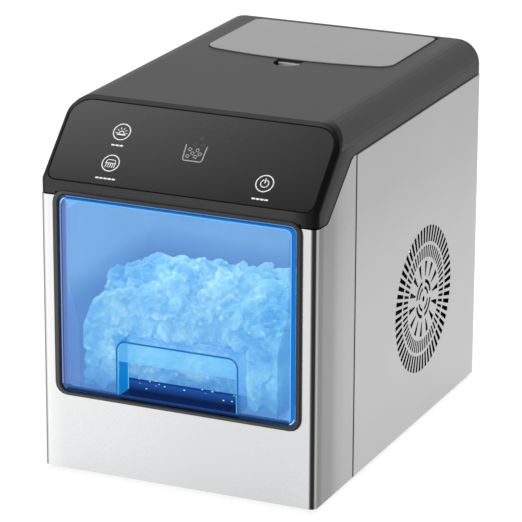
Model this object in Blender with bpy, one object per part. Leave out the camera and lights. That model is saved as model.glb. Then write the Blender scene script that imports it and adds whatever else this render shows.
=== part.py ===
"""Countertop nugget ice maker: steel cabinet, ice drawer, hinged tank lid and the freezing works inside.

Every shape is placed in machine coordinates: x to the right, y back from the steel front face, z up from the
cabinet's lower edge. The empty "machine" carries them all into the row frame, whose origin is the middle of
the bottom of the whole object.
"""

import math

import bmesh
import bpy

# Driving dimensions, in metres.
WIDTH = 0.240
DEPTH = 0.350
HEIGHT = 0.300
FOOT_HEIGHT = 0.004
SHEET = 0.0012
WALL = 0.002
GAP = 0.0003
HALF = WIDTH / 2

# Outermost pieces in front and behind, which set where the middle of the object is.
BEZEL_PROUD = 0.0010
PLUG_PROUD = 0.006

# Top cover: a rounded tray over the cabinet, with a slanted control face in front.
COVER_HALF = 0.1195
COVER_SKIN = 0.0025
COVER_EDGE_RADIUS = 0.020
COVER_CORNER_RADIUS = 0.006
SLOPE_EDGE_RADIUS = 0.0043
SLOPE_FOOT = (0.0, 0.2425)
SLOPE_TOP = (0.058, HEIGHT)
SLOPE_SKIN = 0.0035
BAND_BOTTOM = 0.2320
SEAM_HEIGHT = 0.2720
SEAM_FRONT = 0.0770
SEAM_GAP = 0.0012

# Control panel insert, measured up the slanted face from its foot.
PANEL_HALF = 0.1152
PANEL_LOW = 0.0014
PANEL_HIGH = 0.0772
PANEL_THICK = 0.0013

# Ice drawer window.
WINDOW_HALF = 0.1024
WINDOW_LOW = 0.0680
WINDOW_HIGH = 0.2314
WINDOW_FRONT = 0.0000
WINDOW_BACK = 0.0030
POCKET_HALF = 0.0530
POCKET_TOP = 0.1160
POCKET_MOUTH_TOP = 0.1000
POCKET_DEPTH = 0.0195
POCKET_RADIUS = 0.008

# Window opening, its bezel and the liner behind them share these limits.
OPENING_HALF = 0.1060
OPENING_LOW = 0.0650
OPENING_HIGH = 0.2340
BEZEL_INNER_HALF = 0.1032
BEZEL_INNER_LOW = 0.0672
BEZEL_INNER_HIGH = 0.2320
LINER_FRONT = 0.0118
LINER_BACK = 0.1630

# Ice basket: a trough that narrows below its flare.
BASKET_LOW = 0.0684
BASKET_HIGH = 0.2200
BASKET_BACK = 0.1580
BASKET_BACK_HIGH = 0.1900
BASKET_FOOT_HALF = 0.0880
BASKET_TOP_HALF = 0.0970
BASKET_FLARE = (0.125, 0.158)
BASKET_WALL = 0.0022

# Tank lid: its front edge is a wide arc between two rounded corners.
LID_HALF = 0.084
LID_FRONT = 0.2232
LID_BACK = 0.3405
LID_TOP = 0.301
LID_THICK = 0.003
LID_ARC_RADIUS = 0.340
LID_CORNER_RADIUS = 0.014
LID_BACK_CORNER_RADIUS = 0.006
LID_AXIS = (LID_BACK, 0.297)
NOTCH_Y = 0.2140
NOTCH_RADIUS = 0.0118
LID_BARREL_RADIUS = 0.0032
LID_BARREL_HALF = 0.072

# Side vent and the fan behind it.
VENT_CENTRE = (0.2277, 0.1058)
FAN_HALF = 0.060
FAN_INNER = 0.0865
FAN_OUTER = 0.1115

# Freezing barrel, auger and their gear drive.
AUGER_X = -0.062
AUGER_Y = 0.205
GEAR_MODULE = 0.002
GEAR_TEETH = 48
PINION_TEETH = 12
GEAR_SPACING = GEAR_MODULE * (GEAR_TEETH + PINION_TEETH) / 2
PINION_Y = AUGER_Y + GEAR_SPACING
PRESSURE_ANGLE = math.radians(20)
BACKLASH = 0.0003
GEARBOX_TOP = 0.0440

COMPRESSOR_XY = (0.016, 0.296)
PUMP_XY = (0.045, 0.300)
DRAIN_X = 0.085
DRAIN_Z = 0.022
GLAND_X = -0.085
GLAND_Z = 0.030
FOOT_XY = [(side * 0.095, y) for side in (-1, 1) for y in (0.030, 0.320)]

PALETTE = {
    "steel": ((0.62, 0.62, 0.63), 0.28, 1.0),
    "side_steel": ((0.50, 0.50, 0.51), 0.38, 1.0),
    "black_plastic": ((0.035, 0.035, 0.037), 0.45, 0.0),
    "gloss_black": ((0.020, 0.020, 0.022), 0.10, 0.0),
    "blue_clear": ((0.05, 0.32, 0.95), 0.05, 0.0),
    "clear": ((0.70, 0.86, 0.97), 0.08, 0.0),
    "grey_lid": ((0.38, 0.38, 0.39), 0.30, 0.0),
    "white_plastic": ((0.78, 0.79, 0.80), 0.45, 0.0),
    "rubber": ((0.03, 0.03, 0.03), 0.90, 0.0),
    "zinc": ((0.55, 0.56, 0.57), 0.45, 1.0),
    "black_paint": ((0.02, 0.02, 0.02), 0.40, 0.0),
    "aluminium": ((0.70, 0.71, 0.72), 0.35, 1.0),
    "copper": ((0.72, 0.36, 0.20), 0.30, 1.0),
    "foam": ((0.12, 0.12, 0.12), 0.95, 0.0),
    "silicone": ((0.80, 0.82, 0.84), 0.40, 0.0),
    "board": ((0.03, 0.20, 0.09), 0.50, 0.0),
    "brass": ((0.72, 0.55, 0.25), 0.30, 1.0),
    "led": ((0.55, 0.80, 1.00), 0.40, 0.0),
}


# ---------------------------------------------------------------- tools


def clear_scene():
    for obj in list(bpy.data.objects):
        bpy.data.objects.remove(obj)


def make_empty(name, location, parent=None):
    empty = bpy.data.objects.new(name, None)
    bpy.context.scene.collection.objects.link(empty)
    empty.location = location
    empty.parent = parent
    return empty


def finish_for(name):
    """The material of this name in the palette."""
    if name in bpy.data.materials:
        return bpy.data.materials[name]
    colour, roughness, metallic = PALETTE[name]
    material = bpy.data.materials.new(name)
    material.use_nodes = True
    shader = material.node_tree.nodes["Principled BSDF"]
    shader.inputs["Base Color"].default_value = (*colour, 1)
    shader.inputs["Roughness"].default_value = roughness
    shader.inputs["Metallic"].default_value = metallic
    return material


def place(name, data, finish, location, parent):
    """Links an object of this mesh or curve. A piece with no finish is a helper for a Boolean."""
    obj = bpy.data.objects.new(name, data)
    bpy.context.scene.collection.objects.link(obj)
    obj.parent = parent or MACHINE
    obj.location = location
    if finish:
        data.materials.append(finish_for(finish))
    else:
        obj.hide_render = True
        obj.display_type = "WIRE"
    return obj


def solid(name, bm, finish=None, location=(0, 0, 0), parent=None, smooth=False):
    bmesh.ops.recalc_face_normals(bm, faces=bm.faces)
    mesh = bpy.data.meshes.new(name)
    bm.to_mesh(mesh)
    bm.free()
    if smooth:
        mesh.shade_smooth()
        mesh.set_sharp_from_angle(angle=math.radians(35))
    return place(name, mesh, finish, location, parent)


def on_axis(axis, a, b, along):
    """A point with plane coordinates a, b and a distance along the axis: (y, z), (x, z) or (x, y)."""
    return {"X": (along, a, b), "Y": (a, along, b), "Z": (a, b, along)}[axis]


def prism(name, outline, start, end, axis, finish=None, holes=(), **where):
    """An outline, less its holes, swept along an axis from start to end."""
    bm = bmesh.new()
    edges = []
    for loop in (outline, *holes):
        corners = [bm.verts.new(on_axis(axis, a, b, start)) for a, b in loop]
        edges += [bm.edges.new((corners[i - 1], corners[i])) for i in range(len(corners))]
    if holes:
        bmesh.ops.triangle_fill(bm, use_beauty=True, use_dissolve=False, edges=edges)
    else:
        bm.faces.new(corners)
    swept = bmesh.ops.extrude_face_region(bm, geom=list(bm.faces), use_keep_orig=True)
    moved = [g for g in swept["geom"] if isinstance(g, bmesh.types.BMVert)]
    bmesh.ops.translate(bm, verts=moved, vec=on_axis(axis, 0, 0, end - start))
    return solid(name, bm, finish, **where)


def box(name, low, high, finish=None, **where):
    outline = [(low[0], low[1]), (high[0], low[1]), (high[0], high[1]), (low[0], high[1])]
    return prism(name, outline, low[2], high[2], "Z", finish, **where)


def boxes(name, limits):
    """Several separate boxes in one helper."""
    bm = bmesh.new()
    for low, high in limits:
        made = bmesh.ops.create_cube(bm, size=1)["verts"]
        for vert in made:
            vert.co = [lo + (c + 0.5) * (hi - lo) for c, lo, hi in zip(vert.co, low, high)]
    return solid(name, bm)


def arc(centre, radius, start, end, steps):
    """Points on an arc, angles in degrees."""
    angles = [math.radians(start + (end - start) * i / steps) for i in range(steps + 1)]
    return [(centre[0] + radius * math.cos(a), centre[1] + radius * math.sin(a)) for a in angles]


def circle(centre, radius, segments=24):
    return arc(centre, radius, 0, 360, segments)[:-1]


def rounded_rectangle(low, high, radius, steps=4, top_radius=None):
    top = top_radius or radius
    return (
        arc((high[0] - radius, low[1] + radius), radius, -90, 0, steps)
        + arc((high[0] - top, high[1] - top), top, 0, 90, steps)
        + arc((low[0] + top, high[1] - top), top, 90, 180, steps)
        + arc((low[0] + radius, low[1] + radius), radius, 180, 270, steps)
    )


def rod(name, centre, radius, start, end, axis, finish=None, segments=20, bore=0, **where):
    """A round bar along an axis, with an optional bore."""
    holes = [circle(centre, bore, segments)] if bore else []
    return prism(name, circle(centre, radius, segments), start, end, axis, finish, holes, **where)


def turned(name, profile, finish, location, segments=24, parent=None, hollow=False):
    """A profile of (radius, height) turned about the vertical axis. A hollow profile is a closed loop."""
    bm = bmesh.new()
    rings = []
    for radius, height in profile:
        if radius == 0:
            rings.append([bm.verts.new((0, 0, height))] * segments)
        else:
            rings.append([bm.verts.new((a, b, height)) for a, b in circle((0, 0), radius, segments)])
    pairs = list(zip(rings, rings[1:]))
    if hollow:
        pairs.append((rings[-1], rings[0]))
    for lower, upper in pairs:
        for i in range(segments):
            corners = dict.fromkeys((lower[i - 1], lower[i], upper[i], upper[i - 1]))
            bm.faces.new(list(corners))
    return solid(name, bm, finish, location, parent, smooth=True)


def combine(obj, operation, *others):
    for other in others:
        step = obj.modifiers.new(other.name, "BOOLEAN")
        step.operation = operation
        step.solver = "EXACT"
        step.object = other
    return obj


def cut(obj, *cutters):
    return combine(obj, "DIFFERENCE", *cutters)


def unite(obj, *others):
    return combine(obj, "UNION", *others)


def smooth_path(knots, steps):
    """Points read from a Catmull-Rom curve through the knots."""
    before = tuple(2 * a - b for a, b in zip(knots[0], knots[1]))
    after = tuple(2 * a - b for a, b in zip(knots[-1], knots[-2]))
    ends = [before, *knots, after]
    points = []
    for a, b, c, d in zip(ends, ends[1:], ends[2:], ends[3:]):
        for i in range(steps):
            t = i / steps
            points.append(
                tuple(
                    0.5 * (2 * q + (r - p) * t + (2 * p - 5 * q + 4 * r - s) * t**2 + (3 * q - p - 3 * r + s) * t**3)
                    for p, q, r, s in zip(a, b, c, d)
                )
            )
    return [*points, knots[-1]]


def tube(name, knots, radius, finish, steps=4):
    curve = bpy.data.curves.new(name, "CURVE")
    curve.dimensions = "3D"
    curve.bevel_depth = radius
    curve.bevel_resolution = 2
    curve.use_fill_caps = True
    points = smooth_path(knots, steps)
    spline = curve.splines.new("POLY")
    spline.points.add(len(points) - 1)
    for point, place_at in zip(spline.points, points):
        point.co = (*place_at, 1)
    return place(name, curve, finish, (0, 0, 0), None)


# ---------------------------------------------------------------- cabinet


def make_base_pan():
    slots = []
    for column in range(8):
        x = -0.070 + column * 0.020
        slots.append(rounded_rectangle((x - 0.002, 0.085), (x + 0.002, 0.130), 0.0019, 2))
    low, high = (-HALF + SHEET + 0.0006, 0.0018), (HALF - SHEET - 0.0006, 0.3466)
    prism("base_pan", rounded_rectangle(low, high, 0.010, 4), 0.0015, 0.0035, "Z", "zinc", slots)


def make_feet():
    profile = [(0, -FOOT_HEIGHT), (0.0090, -FOOT_HEIGHT), (0.0100, -0.0032), (0.0110, 0.0012), (0, 0.0012)]
    names = ["foot_front_left", "foot_rear_left", "foot_front_right", "foot_rear_right"]
    for name, (x, y) in zip(names, FOOT_XY):
        turned(name, profile, "rubber", (x, y, 0), 20)


def skirt_line(drop):
    """The lower edge of the cover's side, seen from the side: (y, z) points, lowered by drop."""
    return [
        (0.0, BAND_BOTTOM - drop),
        (0.0195, BAND_BOTTOM - 0.0014 - drop),
        (0.0232, 0.2325 - drop),
        (0.0675, 0.2700 - drop),
        (0.0720, SEAM_HEIGHT - drop),
        (DEPTH, SEAM_HEIGHT - drop),
    ]


def make_front_frame():
    """Bent sheet: the front face and two short sides, up to the seam."""
    outer_radius = 0.006
    back = SEAM_FRONT
    outer = (
        [(-HALF, back)]
        + arc((-HALF + outer_radius, outer_radius), outer_radius, 180, 270, 6)
        + arc((HALF - outer_radius, outer_radius), outer_radius, 270, 360, 6)
        + [(HALF, back)]
    )
    inner_radius = outer_radius - SHEET
    inner_half = HALF - SHEET
    inner = (
        [(inner_half, back)]
        + arc((HALF - outer_radius, outer_radius), inner_radius, 0, -90, 6)
        + arc((-HALF + outer_radius, outer_radius), inner_radius, -90, -180, 6)
        + [(-inner_half, back)]
    )
    frame = prism("front_frame", outer + inner, 0, SEAM_HEIGHT, "Z", "steel", smooth=True)
    edge = skirt_line(0.0005)
    above = [(-0.02, edge[0][1]), *edge[1:-1], (0.09, edge[-2][1]), (0.09, 0.32), (-0.02, 0.32)]
    over_cover = prism("cut_front_over_cover", above, -0.2, 0.2, "X")
    low, high = (-OPENING_HALF, OPENING_LOW), (OPENING_HALF, 0.30)
    window = prism("cut_front_window", rounded_rectangle(low, high, 0.008), -0.01, 0.01, "Y")
    cut(frame, over_cover, window)


def ring_slots(inner, outer, count, inner_share, outer_share, phase):
    """Radial slots between two radii round the vent's centre; a share is the slot's part of its pitch there."""
    slots = []
    pitch = 2 * math.pi / count
    corners = [(inner, -inner_share), (outer, -outer_share), (outer, outer_share), (inner, inner_share)]
    for i in range(count):
        middle = i * pitch + phase
        slots.append(
            [
                (
                    VENT_CENTRE[0] + radius * math.cos(middle + share * pitch / 2),
                    VENT_CENTRE[1] + radius * math.sin(middle + share * pitch / 2),
                )
                for radius, share in corners
            ]
        )
    return slots


def hub_slots():
    """Four curved slots in each of two rings about the vent's centre hole."""
    slots = [circle(VENT_CENTRE, 0.0026, 8)]
    for inner, outer in ((0.0083, 0.0108), (0.0138, 0.0168)):
        for start in (11, 101, 191, 281):
            end = start + 68
            slots.append(arc(VENT_CENTRE, outer, start, end, 4) + arc(VENT_CENTRE, inner, end, start, 4))
    return slots


def vent_slots():
    spokes = ring_slots(0.0195, 0.0325, 14, 0.14, 0.34, 0.073)
    narrow = ring_slots(0.0357, 0.0460, 56, 0.51, 0.51, 0.0115)
    wide = ring_slots(0.0488, 0.0628, 56, 0.57, 0.57, 0.0115)
    return hub_slots() + spokes + narrow + wide


def make_side_panel(name, side, slots):
    outline = [
        (SEAM_FRONT + SEAM_GAP, 0),
        (DEPTH, 0),
        (DEPTH, SEAM_HEIGHT - 0.0005),
        (SEAM_FRONT + SEAM_GAP, SEAM_HEIGHT - 0.0005),
    ]
    panel = prism(name, outline, side * (HALF - SHEET), side * HALF, "X", "side_steel", slots)
    inner, outer = sorted((side * 0.104, side * (HALF - SHEET / 2)))
    flange = box("add_" + name + "_flange", (inner, 0.3473, 0.002), (outer, 0.3485, 0.268))
    holes = [rod("cut_%s_%d" % (name, z * 1000), (side * 0.111, z), 0.0020, 0.34, 0.349, "Y") for z in (0.020, 0.250)]
    cut(unite(panel, flange), *holes)


def make_side_panels():
    make_side_panel("side_panel_right", 1, vent_slots())
    louvres = []
    for row in range(9):
        z = 0.060 + row * 0.012
        for y in (0.195, 0.261):
            louvres.append(rounded_rectangle((y - 0.030, z - 0.0018), (y + 0.030, z + 0.0018), 0.0017, 2))
    make_side_panel("side_panel_left", -1, louvres)


def make_rear_panel():
    holes = [circle((side * 0.111, z), 0.0020, 12) for side in (-1, 1) for z in (0.020, 0.250)]
    holes += [circle((DRAIN_X, DRAIN_Z), 0.0085, 20), circle((GLAND_X, GLAND_Z), 0.0080, 20)]
    for row in range(10):
        z = 0.080 + row * 0.012
        for x in (-0.035, 0.035):
            holes.append(rounded_rectangle((x - 0.030, z - 0.0018), (x + 0.030, z + 0.0018), 0.0017, 2))
    outline = rounded_rectangle((-0.1184, 0.0020), (0.1184, SEAM_HEIGHT - 0.0006), 0.003, 2)
    prism("rear_panel", outline, DEPTH - SHEET, DEPTH, "Y", "side_steel", holes)
    for i, (side, z) in enumerate([(-1, 0.020), (1, 0.020), (-1, 0.250), (1, 0.250)], 1):
        centre = (side * 0.111, z)
        head = rod("rear_screw_%d" % i, centre, 0.0038, 0.3503, 0.3520, "Y", "zinc", 16)
        shank = rod("add_screw_%d" % i, centre, 0.0016, 0.3420, 0.3510, "Y", segments=10)
        low = (side * 0.111 - 0.0028, 0.3513, z - 0.0005)
        high = (side * 0.111 + 0.0028, 0.36, z + 0.0005)
        slot = boxes("cut_screw_%d" % i, [(low, high)])
        cut(unite(head, shank), slot)


# ---------------------------------------------------------------- top cover


def along_slope(up, out=0.0):
    """(y, z) of the point this far up the slanted face and this far out of it."""
    run, rise = SLOPE_TOP[0] - SLOPE_FOOT[0], SLOPE_TOP[1] - SLOPE_FOOT[1]
    length = math.hypot(run, rise)
    c, s = run / length, rise / length
    return (SLOPE_FOOT[0] + up * c - out * s, SLOPE_FOOT[1] + up * s + out * c)


def arch(half, top, radius, bottom):
    """The cover's cross-section seen from the front: straight sides with rounded upper corners."""
    return (
        [(half, bottom)]
        + arc((half - radius, top - radius), radius, 0, 90, 7)
        + arc((-half + radius, top - radius), radius, 90, 180, 7)
        + [(-half, bottom)]
    )


def lid_outline(offset, back, rear):
    """The tank lid seen from above, grown by offset, with its back edge at back and rear corners of that radius."""
    big = LID_ARC_RADIUS + offset
    centre = (0, LID_FRONT + LID_ARC_RADIUS)
    corner = LID_CORNER_RADIUS + offset
    corner_x = LID_HALF - LID_CORNER_RADIUS
    corner_y = centre[1] - math.sqrt((LID_ARC_RADIUS - LID_CORNER_RADIUS) ** 2 - corner_x**2)
    turn = math.degrees(math.atan2(corner_y - centre[1], corner_x))
    half = LID_HALF + offset
    right_corner = arc((corner_x, corner_y), corner, turn, 0, 5)[1:]
    left_corner = [(-x, y) for x, y in reversed(right_corner)]
    return (
        arc(centre, big, -180 - turn, turn, 8)
        + right_corner
        + arc((half - rear, back - rear), rear, 0, 90, 4)
        + arc((-half + rear, back - rear), rear, 90, 180, 4)
        + left_corner
    )


def bridged(name, loops, finish=None):
    """A solid between two loops of as many points."""
    bm = bmesh.new()
    rings = [[bm.verts.new(point) for point in loop] for loop in loops]
    for ring in rings:
        bm.faces.new(ring)
    for i in range(len(rings[0])):
        bm.faces.new((rings[0][i - 1], rings[0][i], rings[1][i], rings[1][i - 1]))
    return solid(name, bm, finish)


def slanted_prism(name, outline, low, high, finish=None):
    """An outline of (x, distance up the slope), swept out of the slanted face from low to high."""
    return bridged(name, [[(x, *along_slope(up, out)) for x, up in outline] for out in (low, high)], finish)


def outside_corner(side, radius):
    """What lies outside the cover's rounded corner at this side, as (x, distance in from the face)."""
    centre_x = COVER_HALF - radius
    outline = [(centre_x, -0.01), (COVER_HALF + 0.01, -0.01), (COVER_HALF + 0.01, radius)]
    outline += arc((centre_x, radius), radius, 0, -90, 6)
    return [(side * x, inward) for x, inward in outline]


def corner_cutters():
    """Cutters that round the cover's upright front corners and the side edges of its slanted face."""
    cutters = []
    for side, word in ((-1, "left"), (1, "right")):
        upright = outside_corner(side, COVER_CORNER_RADIUS)
        cutters.append(prism("cut_cover_corner_" + word, upright, 0.2, 0.32, "Z"))
        edge = outside_corner(side, SLOPE_EDGE_RADIUS)
        loops = [[(x, *along_slope(up, -inward)) for x, inward in edge] for up in (-0.02, 0.12)]
        cutters.append(bridged("cut_cover_slope_edge_" + word, loops))
    return cutters


def panel_outline(grow):
    low, high = (-PANEL_HALF - grow, PANEL_LOW - grow), (PANEL_HALF + grow, PANEL_HIGH + grow)
    return rounded_rectangle(low, high, 0.008 + grow, 4, 0.0175 + grow)


def make_top_cover():
    front_view = arch(COVER_HALF, HEIGHT, COVER_EDGE_RADIUS, 0.2)
    cover = prism("top_cover", front_view, 0, DEPTH, "Y", "black_plastic", smooth=True)
    side_view = [*skirt_line(0), (DEPTH, 0.32), (SLOPE_TOP[0] + 0.0202, 0.32), SLOPE_FOOT]
    profile = prism("keep_cover_side", side_view, -0.2, 0.2, "X")
    skin = COVER_SKIN
    hollow = prism(
        "cut_cover_inside",
        arch(COVER_HALF - skin, HEIGHT - skin, COVER_EDGE_RADIUS - skin, 0.19),
        skin,
        DEPTH - skin,
        "Y",
    )
    foot, top = along_slope(0, -SLOPE_SKIN), along_slope(0.2, -SLOPE_SKIN)
    below = [(foot[0], 0.18), foot, top, (0.4, top[1]), (0.4, 0.18)]
    combine(hollow, "INTERSECT", prism("keep_cover_hollow", below, -0.2, 0.2, "X"))
    lid_hole = prism("cut_cover_lid", lid_outline(0.0008, LID_BACK + 0.005, 0.0010), 0.29, 0.31, "Z")
    recess = slanted_prism("cut_cover_panel", panel_outline(0.0004), -PANEL_THICK - GAP, 0.02)
    bezel_notch = boxes("cut_cover_bezel", [((-OPENING_HALF, -0.01, 0.22), (OPENING_HALF, 0.01, OPENING_HIGH))])
    notch_block = box("add_cover_notch", (-0.0150, 0.1995, 0.2895), (0.0150, 0.2211, 0.2985))
    reach = LID_FRONT + 0.002
    half_moon = arc((0, NOTCH_Y), NOTCH_RADIUS, 180, 360, 12) + [(NOTCH_RADIUS, reach), (-NOTCH_RADIUS, reach)]
    notch = prism("cut_cover_notch", half_moon, 0.2925, 0.31, "Z")
    bosses = boxes(
        "add_cover_bosses",
        [
            ((-0.0925, 0.3370, 0.2925), (-0.0862, 0.3445, 0.2985)),
            ((0.0862, 0.3370, 0.2925), (0.0925, 0.3445, 0.2985)),
        ],
    )
    pin_bore = rod("cut_cover_pin", LID_AXIS, 0.0015, -0.091, 0.091, "X", segments=16)
    combine(cover, "INTERSECT", profile)
    cut(cover, *corner_cutters())
    cut(cover, hollow)
    unite(cover, notch_block, bosses)
    cut(cover, lid_hole, recess, bezel_notch, notch, pin_bore)


def make_controls():
    slanted_prism("control_panel", panel_outline(0), -PANEL_THICK, 0, "gloss_black")
    board = [(-0.085, 0.012), (0.085, 0.012), (0.085, 0.066), (-0.085, 0.066)]
    slanted_prism("control_board", board, -0.0086, -0.0070, "board")


def make_tank_lid():
    hinge = make_empty("tank_lid_hinge", (0, *LID_AXIS), MACHINE)
    shift = dict(location=(0, -LID_AXIS[0], -LID_AXIS[1]), parent=hinge)
    outline = lid_outline(0, LID_BACK, LID_BACK_CORNER_RADIUS)
    lid = prism("tank_lid", outline, LID_TOP - LID_THICK, LID_TOP, "Z", "grey_lid", **shift)
    barrel = rod("add_lid_barrel", LID_AXIS, LID_BARREL_RADIUS, -LID_BARREL_HALF, LID_BARREL_HALF, "X", **shift)
    lip_outer = rounded_rectangle((-0.0765, 0.2335), (0.0765, 0.3300), 0.010)
    lip_inner = rounded_rectangle((-0.0745, 0.2355), (0.0745, 0.3280), 0.008)
    lip = prism("add_lid_lip", lip_outer, 0.2940, 0.2990, "Z", holes=[lip_inner], **shift)
    bore = rod("cut_lid_bore", LID_AXIS, 0.0016, -0.08, 0.08, "X", segments=16, **shift)
    cut(unite(lid, barrel, lip), bore)
    rod("lid_hinge_pin", LID_AXIS, 0.0012, -0.0905, 0.0905, "X", "zinc", 12)


# ---------------------------------------------------------------- ice compartment


def make_window_bezel():
    inner = rounded_rectangle((-BEZEL_INNER_HALF, BEZEL_INNER_LOW), (BEZEL_INNER_HALF, BEZEL_INNER_HIGH), 0.006)
    outer = rounded_rectangle((-0.1080, 0.0637), (0.1080, 0.2354), 0.010)
    bezel = prism("window_bezel", outer, -BEZEL_PROUD, -GAP, "Y", "black_plastic", [inner])
    low, high = (-OPENING_HALF + 0.0004, OPENING_LOW + 0.0004), (OPENING_HALF - 0.0004, OPENING_HIGH - 0.0004)
    collar_outer = rounded_rectangle(low, high, 0.0076)
    collar = prism("add_bezel_collar", collar_outer, -BEZEL_PROUD / 2, LINER_FRONT - GAP, "Y", holes=[inner])
    unite(bezel, collar)


def make_liner():
    low = (-OPENING_HALF + 0.0004, LINER_FRONT, OPENING_LOW + 0.0004)
    high = (OPENING_HALF - 0.0004, LINER_BACK, OPENING_HIGH - 0.0004)
    liner = box("bin_liner", low, high, "white_plastic")
    inside = box(
        "cut_liner_inside",
        (low[0] + WALL, -0.01, low[2] + WALL),
        (high[0] - WALL, LINER_BACK - WALL, high[2] - WALL),
    )
    chute_window = box("cut_liner_chute", (-0.0865, 0.15, 0.1960), (-0.0375, 0.18, 0.2290))
    drains = boxes(
        "cut_liner_drains",
        [((x - 0.003, y - 0.012, 0.06), (x + 0.003, y + 0.012, 0.075)) for x in (-0.05, 0, 0.05) for y in (0.06, 0.12)],
    )
    cut(liner, inside, chute_window, drains)
    box("led_strip", (-0.080, 0.0150, 0.2275), (0.080, 0.0230, 0.2313), "led")
    box("bin_full_sensor", (0.050, 0.1400, 0.2235), (0.062, 0.1520, 0.2313), "black_plastic")
    for name, side in (("drawer_runner_left", -1), ("drawer_runner_right", 1)):
        inner, outer = sorted((side * 0.0895, side * 0.1033))
        box(name, (inner, 0.0140, 0.0677), (outer, 0.1600, 0.0735), "white_plastic")


def make_drawer():
    drawer = make_empty("ice_drawer_slide", (0, 0, WINDOW_LOW), MACHINE)
    shift = dict(location=(0, 0, -WINDOW_LOW), parent=drawer)
    outline = rounded_rectangle((-WINDOW_HALF, WINDOW_LOW), (WINDOW_HALF, WINDOW_HIGH), 0.0065)
    window = prism("drawer_window", outline, WINDOW_FRONT, WINDOW_BACK, "Y", "blue_clear", **shift)
    half, wall = POCKET_HALF, WALL
    shell_outline = rounded_rectangle((-half - wall, WINDOW_LOW), (half + wall, POCKET_TOP + wall), 0.0005, 4, POCKET_RADIUS + wall)
    shell = prism("add_pocket_shell", shell_outline, 0, POCKET_DEPTH + wall, "Y", **shift)
    cavity_outline = rounded_rectangle((-half, 0.05), (half, POCKET_TOP), 0.0005, 4, POCKET_RADIUS)
    cavity = prism("cut_pocket_cavity", cavity_outline, WINDOW_BACK, POCKET_DEPTH, "Y", **shift)
    mouth = box("cut_pocket_mouth", (-half, -0.01, 0.05), (half, WINDOW_BACK + 0.001, POCKET_MOUTH_TOP), **shift)
    cut(unite(window, shell), cavity, mouth)
    make_basket(shift)


def trough(half_foot, half_top, low, high, flare_drop):
    return [
        (-half_foot, low),
        (half_foot, low),
        (half_foot, BASKET_FLARE[0] + flare_drop),
        (half_top, BASKET_FLARE[1] + flare_drop),
        (half_top, high),
        (-half_top, high),
        (-half_top, BASKET_FLARE[1] + flare_drop),
        (-half_foot, BASKET_FLARE[0] + flare_drop),
    ]


def make_basket(shift):
    wall = BASKET_WALL
    front = WINDOW_BACK + GAP
    outer = trough(BASKET_FOOT_HALF, BASKET_TOP_HALF, BASKET_LOW, BASKET_HIGH, 0)
    basket = prism("ice_basket", outer, front, BASKET_BACK, "Y", "clear", **shift)
    inner = trough(BASKET_FOOT_HALF - wall, BASKET_TOP_HALF - wall, BASKET_LOW + wall, BASKET_HIGH + 0.02, 0.0005)
    inside = prism("cut_basket_inside", inner, -0.01, BASKET_BACK - wall, "Y", **shift)
    low_back = box("cut_basket_back", (-0.0945, 0.150, BASKET_BACK_HIGH), (0.0945, 0.17, 0.25), **shift)
    pocket_end = POCKET_DEPTH + WALL + 0.0008
    pocket = box("cut_basket_pocket", (-0.056, -0.01, 0.06), (0.056, pocket_end, 0.08), **shift)
    drains = boxes(
        "cut_basket_drains",
        [((x - 0.0015, y - 0.010, 0.06), (x + 0.0015, y + 0.010, 0.075)) for x in (-0.06, -0.03, 0, 0.03, 0.06) for y in (0.06, 0.11)],
    )
    drains.parent = shift["parent"]
    drains.location = shift["location"]
    cut(basket, inside, low_back, pocket, drains)


def make_melt_tank():
    tank = box("melt_tank", (-0.100, 0.0060, 0.0060), (0.100, 0.1480, 0.0600), "white_plastic")
    inside = box("cut_melt_tank", (-0.098, 0.0080, 0.0080), (0.098, 0.1460, 0.07))
    cut(tank, inside)
    knots = [(DRAIN_X, 0.1486, DRAIN_Z), (DRAIN_X, 0.165, DRAIN_Z), (DRAIN_X + 0.006, 0.210, 0.016)]
    knots += [(DRAIN_X + 0.006, 0.270, 0.016), (DRAIN_X, 0.315, DRAIN_Z), (DRAIN_X, 0.3294, DRAIN_Z)]
    tube("drain_hose", knots, 0.0065, "silicone")
    fitting = rod("drain_fitting", (DRAIN_X, DRAIN_Z), 0.0080, 0.3300, 0.3510, "Y", "black_plastic")
    flange = rod("add_drain_flange", (DRAIN_X, DRAIN_Z), 0.0125, 0.3503, 0.3520, "Y", segments=24)
    bore = rod("cut_drain_bore", (DRAIN_X, DRAIN_Z), 0.0056, 0.32, 0.36, "Y")
    cut(unite(fitting, flange), bore)
    slide = make_empty("drain_plug_slide", (DRAIN_X, 0.3523, DRAIN_Z), MACHINE)
    shift = dict(location=(-DRAIN_X, -0.3523, -DRAIN_Z), parent=slide)
    plug = rod("drain_plug", (DRAIN_X, DRAIN_Z), 0.0110, 0.3523, DEPTH + PLUG_PROUD, "Y", "rubber", 24, **shift)
    stem = rod("add_plug_stem", (DRAIN_X, DRAIN_Z), 0.0050, 0.3360, 0.3530, "Y", segments=16, **shift)
    unite(plug, stem)


# ---------------------------------------------------------------- water supply


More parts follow.
